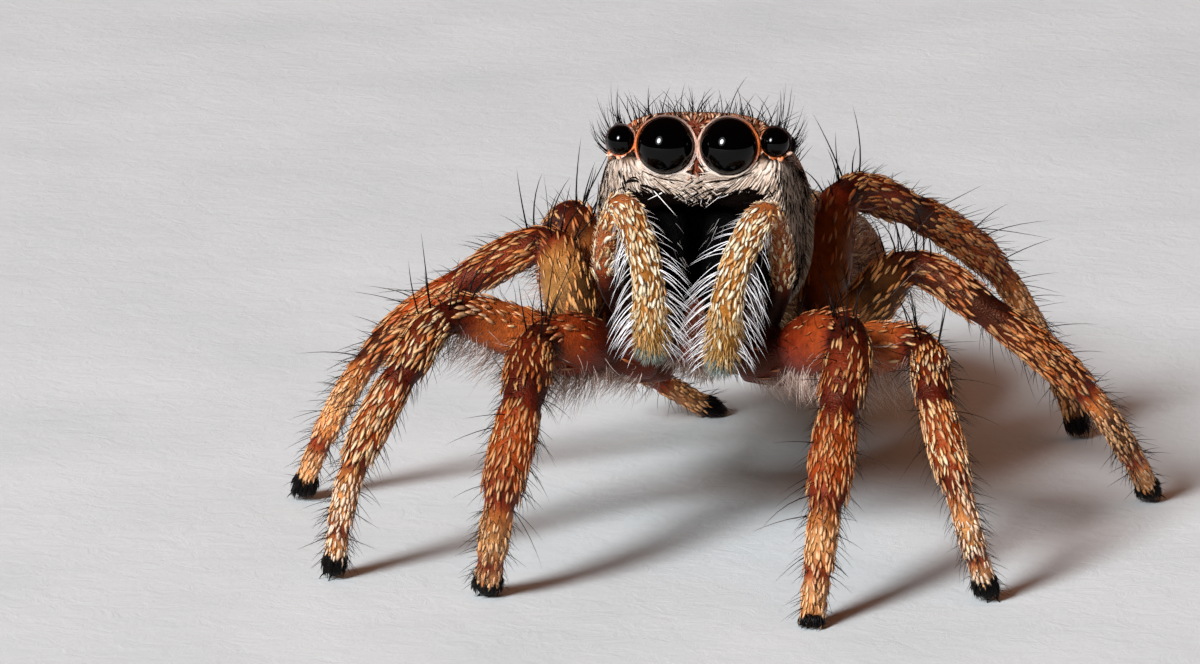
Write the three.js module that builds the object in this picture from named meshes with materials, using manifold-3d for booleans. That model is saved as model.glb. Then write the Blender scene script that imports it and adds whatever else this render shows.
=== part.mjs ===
// Jumping spider, adult female, standing on eight feet and looking ahead.
// Millimetres, +Z up, the face towards -Y and the spider's left side towards +X.
// One named mesh for each part of the body, all of them parts of one still model.

import * as THREE from 'three';
import { mergeVertices } from 'three/addons/utils/BufferGeometryUtils.js';
import Module from 'manifold-3d';

const wasm = await Module();
wasm.setup();

// ---- Driving dimensions -------------------------------------------------------------

const GAP = 0.1;                 // between two parts that meet face to face
const EYE_GAP = 0.04;            // between an eye and its socket
const EYE_HEIGHT = 4.2;          // of the front eyes above the floor
const HEAD_PITCH = 15;           // degrees, the face is lifted
const SIDES = { left: 1, right: -1 };

const CARAPACE_LENGTH = 3.3;
const ABDOMEN_LENGTH = 4.1;
const ABDOMEN_HALF_WIDTH = 1.32;
const ABDOMEN_HALF_HEIGHT = 1.03;
const ABDOMEN_YAW = 9;           // degrees, the rear end is swung to the left
const ABDOMEN_DROOP = 5;         // degrees, the rear end is lower
const ABDOMEN_FRONT = new THREE.Vector3(0.02, 3.20, 1.90);

// Lengths of the leg parts, first pair to fourth: patella, tibia, metatarsus, tarsus.
const LEG_LENGTHS = {
  1: { patella: 0.84, tibia: 1.02, metatarsus: 0.66, tarsus: 0.52 },
  2: { patella: 0.78, tibia: 0.95, metatarsus: 0.70, tarsus: 0.57 },
  3: { patella: 0.90, tibia: 1.25, metatarsus: 1.08, tarsus: 0.72 },
  4: { patella: 1.00, tibia: 1.50, metatarsus: 1.50, tarsus: 0.90 },
};

// Thickness of each leg pair, against the radii in LEG_RADII.
const LEG_STOUTNESS = { 1: 1.08, 2: 0.97, 3: 0.97, 4: 1.0 };

// Radii of the leg parts with their short coat: at the start, the middle and the end.
const LEG_RADII = {
  coxa: [0.20, 0.22, 0.20],
  femur: [0.20, 0.29, 0.25],
  patella: [0.25, 0.26, 0.24],
  tibia: [0.24, 0.24, 0.21],
  metatarsus: [0.21, 0.19, 0.18],
  tarsus: [0.18, 0.16, 0.13],
};
const LEG_TALLNESS = 1.16;       // coxa and femur are deeper than they are wide

// Coxae in the head's own frame: where each leaves the sternum and where it ends.
const COXA_ROOT_X = [0.42, 0.47, 0.47, 0.36];
const COXA_END_X = [0.86, 1.10, 1.16, 0.98];
const COXA_ROOT_Y = [0.92, 1.36, 1.80, 2.22];
const COXA_END_Y = [0.72, 1.28, 1.90, 2.52];
const COXA_Z = -2.02;

// The stance: knee and foot of each leg, and the way its lower part bows.
const UPWARD = new THREE.Vector3(0, 0, 1);
const FORWARD = new THREE.Vector3(0, -1, 0.22);
const STANCE = {
  left: {
    1: { knee: [1.52, -0.72, 2.46], foot: [1.25, -2.38], bow: FORWARD },
    2: { knee: [2.22, -0.25, 2.27], foot: [2.92, -1.16], bow: FORWARD },
    3: { knee: [1.98, 2.10, 2.56], foot: [4.40, 3.00], bow: new THREE.Vector3(0.3, -1, 0.7) },
    4: { knee: [1.28, 2.95, 3.08], foot: [3.62, 5.62], bow: UPWARD },
  },
  right: {
    1: { knee: [-1.50, -0.55, 2.32], foot: [-1.96, -1.26], bow: FORWARD },
    2: { knee: [-2.42, -0.22, 2.50], foot: [-3.50, -0.74], bow: new THREE.Vector3(-0.5, -1, 0.3) },
    3: { knee: [-1.60, 2.26, 2.70], foot: [-4.13, 2.44], bow: new THREE.Vector3(0, -0.5, 1) },
    4: { knee: [-1.40, 2.98, 2.80], foot: [-0.12, 6.34], bow: new THREE.Vector3(-1, 0, 0.2) },
  },
};
// How sharply the lower leg turns at the ends of the patella, tibia and metatarsus.
const LEG_TURNS = [0.8, 1.0, 0.45];

// Palps: the line of each, from beside the mouth, over its knee and down to the tip.
const PALP_LINE = {
  left: [
    [0.60, 0.42, 2.16], [0.84, 0.04, 2.86], [0.69, -0.36, 3.60], [0.42, -0.58, 3.16], [0.25, -0.52, 2.06],
  ],
  right: [
    [-0.60, 0.42, 2.20], [-0.90, 0.04, 2.92], [-0.70, -0.36, 3.66], [-0.47, -0.58, 3.18], [-0.40, -0.52, 2.18],
  ],
};
const PALP_RADII = { femur: [0.13, 0.18, 0.17], shank: [0.17, 0.19, 0.20] };

// Eyes in the head's own frame: centre of the left one of each pair, and the radius.
const EYES = {
  front_middle: { at: [0.306, 0.06, 0], radius: 0.285 },
  front_side: { at: [0.742, 0.15, 0.05], radius: 0.15 },
  small: { at: [0.80, 0.92, 0.14], radius: 0.07 },
  rear: { at: [0.76, 1.62, 0.09], radius: 0.13 },
};

// The parts under the head, in the head's own frame.
const MOUTH_RECESS = { length: 1.32, front: -0.65, halfWidth: 0.64, top: -0.56, bottom: -2.3 };
const CHELICERA = {
  length: 1.16, top: -0.70, x: 0.285, y: 0.20, halfWidths: [0.235, 0.19], halfDepths: [0.25, 0.18],
};
const MOUTHPARTS = { length: 0.56, front: 0.10, halfWidth: 0.42, top: -1.76, bottom: -2.16 };
const STERNUM = { length: 1.62, front: 0.78, halfWidths: [0.16, 0.30], top: -1.78, bottom: -2.2 };

// The rear end: the waist in front of the abdomen and four spinnerets behind.
const WAIST = { radius: 0.16, length: 0.7, centre: [0, 0.16, -0.1] };
const SPINNERETS = { length: 0.42, radii: [0.05, 0.10], x: 0.10, z: 0.09, spread: 0.12, height: -0.06 };
const SPINNERET_BASE = { radii: [0.2, 0.22], length: 0.12 };
const REAR_CUT = 0.06;           // how much of the abdomen's end is cut flat for the spinnerets

// Hair, in millimetres. Bristles are black and stand out; locks are pale, flat and lie down.
const BRISTLE = { width: 0.022, thickness: 0.022, sides: 3, steps: 2 };
const LOCK = { width: 0.075, thickness: 0.032, sides: 4, steps: 3 };
const FRINGE = { width: 0.036, thickness: 0.024, sides: 3, steps: 2 };
const ROOT_DEPTH = 0.07;         // how far a root is sunk into the body
const CLEARANCE = 0.05;          // kept by each hair to every other part
const LEG_BRISTLES = { femur: 4, patella: 4, tibia: 5, tarsus: 5 };
const LEG_BRISTLE_LENGTHS = [0.24, 0.42];
const KNEE_BRISTLE_LENGTH = 0.52;
const FEMUR_FRINGE = { count: 4, length: 0.26 };
const BEARD_ROWS = [
  { z: -0.40, count: 11, reach: 0.78, length: 0.34 },
  { z: -0.53, count: 8, reach: 0.55, length: 0.30 },
];
const CHEEK_LOCKS = { rows: 4, columns: 4, y: 0.34, z: -0.18, stepBack: 0.36, stepDown: 0.32, length: 0.44 };
const CREST_ROWS = [
  { y: 0.16, count: 13, reach: 0.85, lengths: [0.22, 0.34] },
  { y: 0.42, count: 12, reach: 0.88, lengths: [0.30, 0.48] },
  { y: 0.95, count: 7, reach: 0.87, lengths: [0.24, 0.36] },
  { y: 1.75, count: 6, reach: 0.78, lengths: [0.20, 0.32] },
];
const PALP_FRINGE = { count: 10, longest: 0.38 };
const ABDOMEN_BRISTLES = { rings: 6, each: 4, lengths: [0.22, 0.36] };

const COLOURS = {
  carapace: 0x4a3426,
  abdomen: 0x6b4a2c,
  leg: 0xa65a22,
  palp: 0xc9954e,
  chelicera: 0x14100e,
  sternum: 0x7a3a22,
  eye: 0x050506,
};

// ---- Small helpers ------------------------------------------------------------------

const radians = THREE.MathUtils.degToRad;
const mix = THREE.MathUtils.lerp;

/** A smooth line through [place, value] pairs, as a function of the place. */
function profile(pairs) {
  return (place) => {
    const last = pairs.length - 1;
    let i = 0;
    while (i < last - 1 && place > pairs[i + 1][0]) {
      i += 1;
    }
    const [x0, y0] = pairs[i];
    const [x1, y1] = pairs[i + 1];
    const before = pairs[Math.max(i - 1, 0)];
    const after = pairs[Math.min(i + 2, last)];
    const slope0 = (y1 - before[1]) / (x1 - before[0] || 1);
    const slope1 = (after[1] - y0) / (after[0] - x0 || 1);
    const span = x1 - x0;
    const f = THREE.MathUtils.clamp((place - x0) / span, 0, 1);
    const g = 1 - f;
    return y0 * g * g * (1 + 2 * f) + slope0 * span * f * g * g
      + y1 * f * f * (3 - 2 * f) - slope1 * span * f * f * g;
  };
}

/** A quadratic through three evenly spaced values, read at f from 0 to 1. */
function threePoint([a, b, c], f) {
  return a * (1 - f) * (1 - 2 * f) + 4 * b * f * (1 - f) + c * f * (2 * f - 1);
}

/** A number with its sign kept and its size raised to a power. */
function signedPower(value, power) {
  return Math.sign(value) * Math.abs(value) ** power;
}

/** A three.js geometry as a manifold solid. */
function solid(geometry) {
  const bare = geometry.index ? geometry.clone() : geometry;
  bare.deleteAttribute('normal');
  bare.deleteAttribute('uv');
  const merged = mergeVertices(bare, 1e-5);
  const mesh = new wasm.Mesh({
    numProp: 3,
    vertProperties: Float32Array.from(merged.attributes.position.array),
    triVerts: Uint32Array.from(merged.index.array),
  });
  return new wasm.Manifold(mesh);
}

/** The largest closed surface of a solid, as a three.js geometry. */
function geometryOf(shape) {
  const pieces = shape.decompose();
  pieces.sort((a, b) => b.volume() - a.volume());
  const mesh = pieces[0].getMesh();
  const geometry = new THREE.BufferGeometry();
  geometry.setAttribute('position', new THREE.BufferAttribute(mesh.vertProperties, 3));
  geometry.setIndex(new THREE.BufferAttribute(mesh.triVerts, 1));
  geometry.computeVertexNormals();
  return geometry;
}

/** Many solids as one. */
function joined(solids) {
  return solids.reduce((whole, piece) => whole.add(piece));
}

/** A named mesh with its own material, put in a group. */
function addPart(group, name, geometry, colour, roughness = 0.7) {
  const material = new THREE.MeshStandardMaterial({ color: colour, roughness, metalness: 0 });
  const mesh = new THREE.Mesh(geometry, material);
  mesh.name = name;
  group.add(mesh);
  return mesh;
}

/** Moves every vertex of a geometry by a function that changes the vector it is given. */
function reshaped(geometry, change) {
  const place = geometry.attributes.position;
  const vertex = new THREE.Vector3();
  for (let i = 0; i < place.count; i += 1) {
    vertex.fromBufferAttribute(place, i);
    change(vertex);
    place.setXYZ(i, vertex.x, vertex.y, vertex.z);
  }
  return geometry;
}

/** The half-size of a ring at f along an egg-like body, against its full size: 0 at both ends. */
function ringSize(f, blunt) {
  return Math.max(1 - (2 * f - 1) ** 2, 0) ** (blunt / 2);
}

/** An egg-like body along +Y: a sphere whose rings become the given cross-sections. */
function bodyOfRings(length, ring, around, along) {
  const sphere = new THREE.SphereGeometry(1, around, along);
  return reshaped(sphere, (vertex) => {
    const radius = Math.max(Math.hypot(vertex.x, vertex.z), 1e-9);
    const f = 0.5 + 0.5 * vertex.y;
    const { halfWidth, top, bottom, squareness, blunt } = ring(f);
    const size = radius < 1e-6 ? 0 : ringSize(f, blunt);
    const across = signedPower(vertex.x / radius, squareness) * size * halfWidth;
    const upright = signedPower(vertex.z / radius, squareness) * size * (top - bottom) / 2;
    vertex.set(across, f * length, (top + bottom) / 2 + upright);
  });
}

/** How far a place is inside (below 0) or outside (above 0) the same body, as a smooth number. */
function ringDistance(length, ring, place) {
  const f = THREE.MathUtils.clamp(place.y / length, 0, 1);
  const { halfWidth, top, bottom, squareness, blunt } = ring(f);
  const size = Math.max(ringSize(f, blunt), 1e-3);
  const across = Math.abs(place.x / halfWidth / size) ** (2 / squareness);
  const upright = Math.abs((place.z - (top + bottom) / 2) / ((top - bottom) / 2) / size) ** (2 / squareness);
  return across + upright - 1;
}

/** Where a straight line from outside meets the body, and the direction that faces out there. */
function surfaceAt(length, ring, outside, inside) {
  const point = new THREE.Vector3();
  let out = 0;
  let into = 1;
  for (let i = 0; i < 30; i += 1) {
    const middle = (out + into) / 2;
    point.lerpVectors(outside, inside, middle);
    if (ringDistance(length, ring, point) > 0) {
      out = middle;
    } else {
      into = middle;
    }
  }
  const step = 0.01;
  const slope = (axis) => {
    const ahead = point.clone();
    const behind = point.clone();
    ahead[axis] += step;
    behind[axis] -= step;
    return ringDistance(length, ring, ahead) - ringDistance(length, ring, behind);
  };
  return { point, normal: new THREE.Vector3(slope('x'), slope('y'), slope('z')).normalize() };
}

/** Directions across a line at even steps, carried along it without twisting. */
function framesAlong(line, steps) {
  const frames = [];
  let side = null;
  for (let i = 0; i <= steps; i += 1) {
    const tangent = line.getTangent(i / steps);
    side = side ?? new THREE.Vector3().crossVectors(tangent, UPWARD);
    side = side.clone().addScaledVector(tangent, -side.dot(tangent)).normalize();
    frames.push({ side, up: new THREE.Vector3().crossVectors(side, tangent) });
  }
  return frames;
}

/** A limb along the part of a line from start to end, with flat ends. */
function limb(line, frames, start, end, radius, tallness, around, along) {
  const tube = new THREE.CylinderGeometry(1, 1, 1, around, along);
  return reshaped(tube, (vertex) => {
    const f = vertex.y + 0.5;
    const t = mix(start, end, f);
    const at = line.getPoint(t);
    const { side, up } = frames[Math.round(t * (frames.length - 1))];
    const across = radius(f) * vertex.x;
    const upright = radius(f) * tallness * vertex.z;
    vertex.copy(at).addScaledVector(side, across).addScaledVector(up, upright);
  });
}

// ---- Hair ---------------------------------------------------------------------------

/** Parts that carry hair, each with the hairs that it would have if nothing was in the way. */
const hairy = [];

/** Draws between 0 and 1 that come out the same every time. */
function seededDraws(seed) {
  let state = seed;
  return () => {
    state = (state * 1664525 + 1013904223) % 4294967296;
    return state / 4294967296;
  };
}
const draw = seededDraws(3);

/** A number between two others, drawn at random. */
function between(low, high) {
  return mix(low, high, draw());
}

/** A tapered hair or lock from its root along one direction, bending towards another. */
function hairShape({ root, along, bend, length, kind }) {
  const start = along.clone().normalize();
  const broad = new THREE.Vector3().crossVectors(start, bend).normalize();
  const thin = new THREE.Vector3().crossVectors(broad, start);
  const cone = new THREE.ConeGeometry(1, 1, kind.sides, kind.steps);
  return reshaped(cone, (vertex) => {
    const f = vertex.y + 0.5;
    const swell = 1 + 1.2 * f;
    const across = vertex.x * swell * kind.width;
    const upright = vertex.z * swell * kind.thickness;
    vertex.copy(root)
      .addScaledVector(start, length * f - ROOT_DEPTH)
      .addScaledVector(bend, f * f)
      .addScaledVector(broad, across)
      .addScaledVector(thin, upright);
  });
}

/** A mesh's geometry as a solid in the frame of the whole spider. */
function worldSolid(geometry, mesh) {
  return solid(geometry.clone().applyMatrix4(mesh.matrixWorld));
}

/** Whether a solid comes into any other part, told first by their boxes. */
function crossesOthers(shape, box, mesh, others) {
  for (const [name, other] of others) {
    if (name !== mesh.name && box.intersectsBox(other.box) && !shape.intersect(other.solid).isEmpty()) {
      return true;
    }
  }
  return false;
}

/** The same hair with room round it: wider and a little longer. */
function withRoom(hair) {
  const kind = { ...hair.kind };
  kind.width += CLEARANCE;
  kind.thickness += CLEARANCE;
  return hairShape({ ...hair, kind, length: hair.length + CLEARANCE });
}

const SHORTER = [1, 0.75, 0.5];  // a hair in another part's way is made shorter, or left out

/** Joins each part's hairs to it, and keeps them clear of every other part and of the floor. */
function growHair(spider) {
  spider.updateMatrixWorld(true);
  const others = new Map();
  spider.traverse((mesh) => {
    if (mesh.isMesh) {
      const whole = worldSolid(mesh.geometry, mesh);
      others.set(mesh.name, { solid: whole, box: new THREE.Box3().setFromObject(mesh, true) });
    }
  });
  for (const { mesh, hairs } of hairy) {
    const grown = [];
    for (const hair of hairs) {
      for (const share of SHORTER) {
        const bend = hair.bend.clone().multiplyScalar(share);
        const shorter = { ...hair, length: hair.length * share, bend };
        const roomy = withRoom(shorter).applyMatrix4(mesh.matrixWorld);
        roomy.computeBoundingBox();
        const aboveFloor = roomy.boundingBox.min.z > 0;
        if (aboveFloor && !crossesOthers(solid(roomy), roomy.boundingBox, mesh, others)) {
          grown.push(solid(hairShape(shorter)));
          break;
        }
      }
    }
    mesh.geometry = geometryOf(joined([solid(mesh.geometry), ...grown]));
    const whole = worldSolid(mesh.geometry, mesh);
    others.set(mesh.name, { solid: whole, box: new THREE.Box3().setFromObject(mesh, true) });
  }
}

/** Hairs on an egg-like body, each rooted where a line from outside meets its surface. */
function hairOnBody(length, ring, { outside, inside, lie, lift, bend, size, kind }) {
  const { point, normal } = surfaceAt(length, ring, outside, inside);
  const along = lie.clone().addScaledVector(normal, lift).normalize();
  const turned = normal.clone().multiplyScalar(bend * size);
  return { root: point, along, bend: turned, length: size, kind };
}

// ---- Head and its parts, in a frame of their own -----------------------------------

const head = new THREE.Group();
head.position.set(0, 0, EYE_HEIGHT);
head.rotation.x = -radians(HEAD_PITCH);
head.updateMatrixWorld(true);

/** A place in the head's frame, in the frame of the whole spider. */
function fromHead(x, y, z) {
  return head.localToWorld(new THREE.Vector3(x, y, z));
}

const carapaceHalfWidth = profile([[0, 0.96], [0.4, 0.98], [1.1, 1.03], [1.8, 1.05], [2.5, 0.91], [3.3, 0.53]]);
const carapaceTop = profile([[0, 0.43], [0.35, 0.41], [1.6, 0.28], [2.1, 0.10], [2.7, -0.40], [3.3, -1.0]]);
const carapaceBottom = profile([[0, -0.60], [0.4, -1.2], [0.8, -1.6], [1.6, -1.66], [2.5, -1.64], [3.3, -1.5]]);

function carapaceRing(f) {
  const y = f * CARAPACE_LENGTH;
  return {
    halfWidth: carapaceHalfWidth(y),
    top: carapaceTop(y),
    bottom: carapaceBottom(y),
    squareness: mix(0.62, 0.85, f),
    blunt: mix(0.14, 0.42, f),
  };
}

/** The hollow under the clypeus in which the chelicerae and the palps' bases sit. */
function mouthRecess() {
  const recess = bodyOfRings(MOUTH_RECESS.length, () => ({
    ...MOUTH_RECESS, squareness: 0.6, blunt: 0.2,
  }), 16, 8);
  recess.translate(0, MOUTH_RECESS.front, 0);
  return solid(recess);
}

function eyeBall(radius, around, along) {
  const ball = new THREE.SphereGeometry(radius, around, along);
  ball.rotateX(-Math.PI / 2);
  return ball;
}

/** Facets around and along an eye or its socket. */
function eyeDetail(radius) {
  return radius > 0.2 ? [16, 10] : [10, 7];
}

function addEyes(carapace) {
  let shell = carapace;
  for (const [pair, { at, radius }] of Object.entries(EYES)) {
    for (const [sideName, side] of Object.entries(SIDES)) {
      const centre = new THREE.Vector3(side * at[0], at[1], at[2]);
      const ball = eyeBall(radius, ...eyeDetail(radius));
      addPart(head, `eye_${pair}_${sideName}`, ball, COLOURS.eye, 0.08).position.copy(centre);
      const socket = eyeBall(radius + EYE_GAP, ...eyeDetail(radius));
      socket.translate(centre.x, centre.y, centre.z);
      shell = shell.subtract(solid(socket));
    }
  }
  return shell;
}

/** Even steps from -reach to reach. */
function evenly(count, reach) {
  return Array.from({ length: count }, (_, i) => mix(-reach, reach, count > 1 ? i / (count - 1) : 0.5));
}

/** The pale locks of the clypeus, which sweep down and inwards to a point in the middle. */
function beardLocks() {
  const locks = [];
  for (const { z, count, reach, length } of BEARD_ROWS) {
    for (const x of evenly(count, reach)) {
      const low = z + 0.22 * x * x;
      locks.push(hairOnBody(CARAPACE_LENGTH, carapaceRing, {
        outside: new THREE.Vector3(x, -0.3, low),
        inside: new THREE.Vector3(x, 1.2, low),
        lie: new THREE.Vector3(-0.8 * Math.sign(x) * Math.min(Math.abs(x) / 0.4, 1), -0.1, -1),
        lift: 0.45,
        bend: -0.14,
        size: length * between(0.9, 1.1),
        kind: LOCK,
      }));
    }
  }
  return locks;
}

/** The pale locks down both sides of the head, from the side eyes to the lower edge. */
function cheekLocks() {
  const locks = [];
  const { rows, columns, stepBack, stepDown, length } = CHEEK_LOCKS;
  for (const side of Object.values(SIDES)) {
    for (let row = 0; row < rows; row += 1) {
      for (let column = 0; column < columns; column += 1) {
        const y = CHEEK_LOCKS.y + stepBack * (column + 0.5 * (row % 2));
        const z = CHEEK_LOCKS.z - stepDown * row;
        locks.push(hairOnBody(CARAPACE_LENGTH, carapaceRing, {
          outside: new THREE.Vector3(side * 2, y, z),
          inside: new THREE.Vector3(0, y, z),
          lie: new THREE.Vector3(0, -0.45, -1),
          lift: 0.40,
          bend: -0.14,
          size: length * between(0.85, 1.15),
          kind: LOCK,
        }));
      }
    }
  }
  return locks;
}

/** The black bristles over and behind the eyes, which rise and fan outwards. */
function crestBristles() {
  const bristles = [];
  for (const { y, count, reach, lengths } of CREST_ROWS) {
    for (const x of evenly(count, reach)) {
      const across = x + between(-0.04, 0.04);
      const back = y + between(-0.06, 0.06);
      bristles.push(hairOnBody(CARAPACE_LENGTH, carapaceRing, {
        outside: new THREE.Vector3(across * 1.3, back, 1.4),
        inside: new THREE.Vector3(across * 0.9, back, -0.3),
        lie: new THREE.Vector3(0.5 * x, -0.25, 0.9),
        lift: 0.5,
        bend: 0.12 * Math.sign(draw() - 0.5),
        size: between(...lengths),
        kind: BRISTLE,
      }));
    }
  }
  return bristles;
}

function addCarapace() {
  const shell = solid(bodyOfRings(CARAPACE_LENGTH, carapaceRing, 30, 18));
  const mesh = addPart(head, 'carapace', geometryOf(addEyes(shell.subtract(mouthRecess()))), COLOURS.carapace);
  hairy.push({ mesh, hairs: [...beardLocks(), ...cheekLocks(), ...crestBristles()] });
}

/** The two black jaws that hang below the clypeus, fangs folded under their ends. */
function addChelicerae() {
  const { length, top, x, y, halfWidths, halfDepths } = CHELICERA;
  for (const [sideName, side] of Object.entries(SIDES)) {
    const jaw = bodyOfRings(length, (f) => ({
      halfWidth: mix(...halfWidths, f),
      top: mix(...halfDepths, f),
      bottom: -mix(...halfDepths, f),
      squareness: 0.85,
      blunt: 0.32,
    }), 12, 9);
    jaw.rotateX(-Math.PI / 2);
    jaw.translate(side * x, y, top);
    addPart(head, `chelicera_${sideName}`, jaw, COLOURS.chelicera, 0.2);
  }
}

/** Maxillae and labium: the blunt plates behind the chelicerae. */
function addMouthparts() {
  const { length, front } = MOUTHPARTS;
  const plates = bodyOfRings(length, () => ({ ...MOUTHPARTS, squareness: 0.7, blunt: 0.4 }), 12, 8);
  plates.translate(0, front, 0);
  addPart(head, 'mouthparts', plates, COLOURS.sternum);
}

/** The shield between the coxae. */
function addSternum() {
  const { length, front, halfWidths } = STERNUM;
  const shield = bodyOfRings(length, (f) => ({
    ...STERNUM, halfWidth: mix(...halfWidths, Math.sin(Math.PI * f)), squareness: 0.9, blunt: 0.4,
  }), 12, 8);
  shield.translate(0, front, 0);
  addPart(head, 'sternum', shield, COLOURS.sternum);
}

// ---- Legs ---------------------------------------------------------------------------

/** The joints of a lower leg that bends evenly from its knee to its foot. */
function bentChain(knee, foot, lengths, bow) {
  const along = new THREE.Vector3().subVectors(foot, knee);
  const reach = along.length();
  along.normalize();
  const outward = bow.clone().addScaledVector(along, -bow.dot(along)).normalize();
  const walk = (bend) => {
    const places = [new THREE.Vector2()];
    let heading = 0;
    lengths.forEach((length, i) => {
      heading -= i > 0 ? bend * LEG_TURNS[i - 1] : 0;
      const step = new THREE.Vector2(Math.cos(heading), Math.sin(heading)).multiplyScalar(length);
      places.push(places[i].clone().add(step));
    });
    return places;
  };
  let low = 0;
  let high = 1.6;
  for (let i = 0; i < 40; i += 1) {
    const middle = (low + high) / 2;
    const span = walk(middle).at(-1).length();
    if (span > reach) {
      low = middle;
    } else {
      high = middle;
    }
  }
  const places = walk(low);
  const scale = reach / places.at(-1).length();
  const turn = -places.at(-1).angle();
  return places.map((place) => {
    const flat = place.clone().rotateAround(new THREE.Vector2(), turn).multiplyScalar(scale);
    return knee.clone().addScaledVector(along, flat.x).addScaledVector(outward, flat.y);
  });
}

const LEG_SIDES = 9;             // facets around a leg
const FEMUR_ARCH = 0.02;         // how far the femur bulges above its straight line
const BELOW_FLOOR = 0.2;         // length of tarsus that the floor plane cuts off

/** The line of a whole leg, through its joints. */
function legLine(pair, sideName) {
  const side = SIDES[sideName];
  const { knee, foot, bow } = STANCE[sideName][pair];
  const root = fromHead(side * COXA_ROOT_X[pair - 1], COXA_ROOT_Y[pair - 1], COXA_Z);
  const hip = fromHead(side * COXA_END_X[pair - 1], COXA_END_Y[pair - 1], COXA_Z + 0.06);
  const kneePlace = new THREE.Vector3(...knee);
  const footPlace = new THREE.Vector3(...foot, 0);
  const middle = hip.clone().lerp(kneePlace, 0.5).addScaledVector(UPWARD, FEMUR_ARCH);
  const lengths = Object.values(LEG_LENGTHS[pair]);
  const lower = bentChain(kneePlace, footPlace, lengths, bow);
  const last = lower.at(-1).clone().sub(lower.at(-2)).setLength(BELOW_FLOOR);
  const points = [root, hip, middle, ...lower, footPlace.clone().add(last)];
  return new THREE.CatmullRomCurve3(points, false, 'centripetal');
}

/** The part of the leg's line between two of its joints, without the gaps at its ends. */
function stretch(line, from, to, gapAtEnd = GAP / 2) {
  const last = line.points.length - 1;
  const firstLength = line.points[from].distanceTo(line.points[from + 1]);
  const lastLength = line.points[to - 1].distanceTo(line.points[to]);
  return [(from + GAP / 2 / firstLength) / last, (to - gapAtEnd / lastLength) / last];
}

/** The parts of a leg from body to foot, between the joints of its line: root 0 to beyond the foot 8. */
function legParts(pair) {
  const { metatarsus, tarsus } = LEG_LENGTHS[pair];
  const share = metatarsus / (metatarsus + tarsus + BELOW_FLOOR);
  const plain = (name) => (f) => threePoint(LEG_RADII[name], f);
  const footRadius = (f) => (f < share
    ? threePoint(LEG_RADII.metatarsus, f / share)
    : threePoint(LEG_RADII.tarsus, (f - share) / (1 - share)));
  return [
    { name: 'coxa', from: 0, to: 1, rows: 2, tallness: LEG_TALLNESS, radius: plain('coxa') },
    { name: 'femur', from: 1, to: 3, rows: 5, tallness: LEG_TALLNESS, radius: plain('femur') },
    { name: 'patella', from: 3, to: 4, rows: 3, tallness: 1, radius: plain('patella') },
    { name: 'tibia', from: 4, to: 5, rows: 3, tallness: 1, radius: plain('tibia') },
    { name: 'tarsus', from: 5, to: 8, rows: 7, tallness: 1, radius: footRadius },
  ];
}

/** A hair on a limb: f along it, on the side that faces a direction, leaning towards its end. */
function hairOnLimb({ line, start, end, radius }, f, facing, lean, length, kind) {
  const t = mix(start, end, f);
  const tangent = line.getTangent(t);
  const normal = facing.clone().addScaledVector(tangent, -facing.dot(tangent)).normalize();
  const root = line.getPoint(t).addScaledVector(normal, radius(f));
  const along = normal.addScaledVector(tangent, lean).normalize();
  return { root, along, bend: tangent.multiplyScalar(1.1 * length), length, kind };
}

/** The direction at an angle round a limb from its upper side. */
function roundLimb({ frames, start, end }, f, angle) {
  const { side, up } = frames[Math.round(mix(start, end, f) * (frames.length - 1))];
  return up.clone().multiplyScalar(Math.cos(angle)).addScaledVector(side, Math.sin(angle));
}

const GOLDEN_TURN = Math.PI * (3 - Math.sqrt(5));
const UPPER_SIDE = 2.2;          // radians to each side of the top on which femora have bristles
const LOWEST_BRISTLE = 0.72;     // of the length of metatarsus and tarsus

/** The bristles of one leg part, and the pale fringe under the first two femora. */
function legHairs(part, pair, surface) {
  const hairs = [];
  const count = LEG_BRISTLES[part.name] ?? 0;
  for (let i = 0; i < count; i += 1) {
    const f = (i + 0.5) / count * (part.name === 'tarsus' ? LOWEST_BRISTLE : 1);
    const turn = THREE.MathUtils.euclideanModulo(GOLDEN_TURN * i + draw(), 2 * Math.PI) - Math.PI;
    const angle = part.name === 'femur' ? turn * UPPER_SIDE / Math.PI : turn;
    const atKnee = part.name === 'patella' && i < 2;
    const length = atKnee ? KNEE_BRISTLE_LENGTH : between(...LEG_BRISTLE_LENGTHS);
    const facing = roundLimb(surface, f, atKnee ? 0.3 * turn : angle);
    hairs.push(hairOnLimb(surface, f, facing, 0.5, length, BRISTLE));
  }
  if (part.name === 'femur' && pair <= 2) {
    for (let i = 0; i < FEMUR_FRINGE.count; i += 1) {
      const f = (i + 0.7) / FEMUR_FRINGE.count;
      const facing = new THREE.Vector3(between(-0.2, 0.2), between(-0.2, 0.2), -1);
      hairs.push(hairOnLimb(surface, f, facing, 0.5, FEMUR_FRINGE.length, FRINGE));
    }
  }
  return hairs;
}

function addLeg(spider, pair, sideName) {
  const line = legLine(pair, sideName);
  const frames = framesAlong(line, 400);
  for (const part of legParts(pair)) {
    const isFoot = part.name === 'tarsus';
    const [start, end] = stretch(line, part.from, part.to, isFoot ? 0 : GAP / 2);
    const radius = (f) => LEG_STOUTNESS[pair] * part.radius(f);
    const tube = solid(limb(line, frames, start, end, radius, part.tallness, LEG_SIDES, part.rows));
    const shape = isFoot ? tube.trimByPlane([0, 0, 1], 0) : tube;
    const mesh = addPart(spider, `leg_${pair}_${sideName}_${part.name}`, geometryOf(shape), COLOURS.leg);
    hairy.push({ mesh, hairs: legHairs(part, pair, { line, frames, start, end, radius }) });
  }
}

// ---- Palps --------------------------------------------------------------------------

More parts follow.
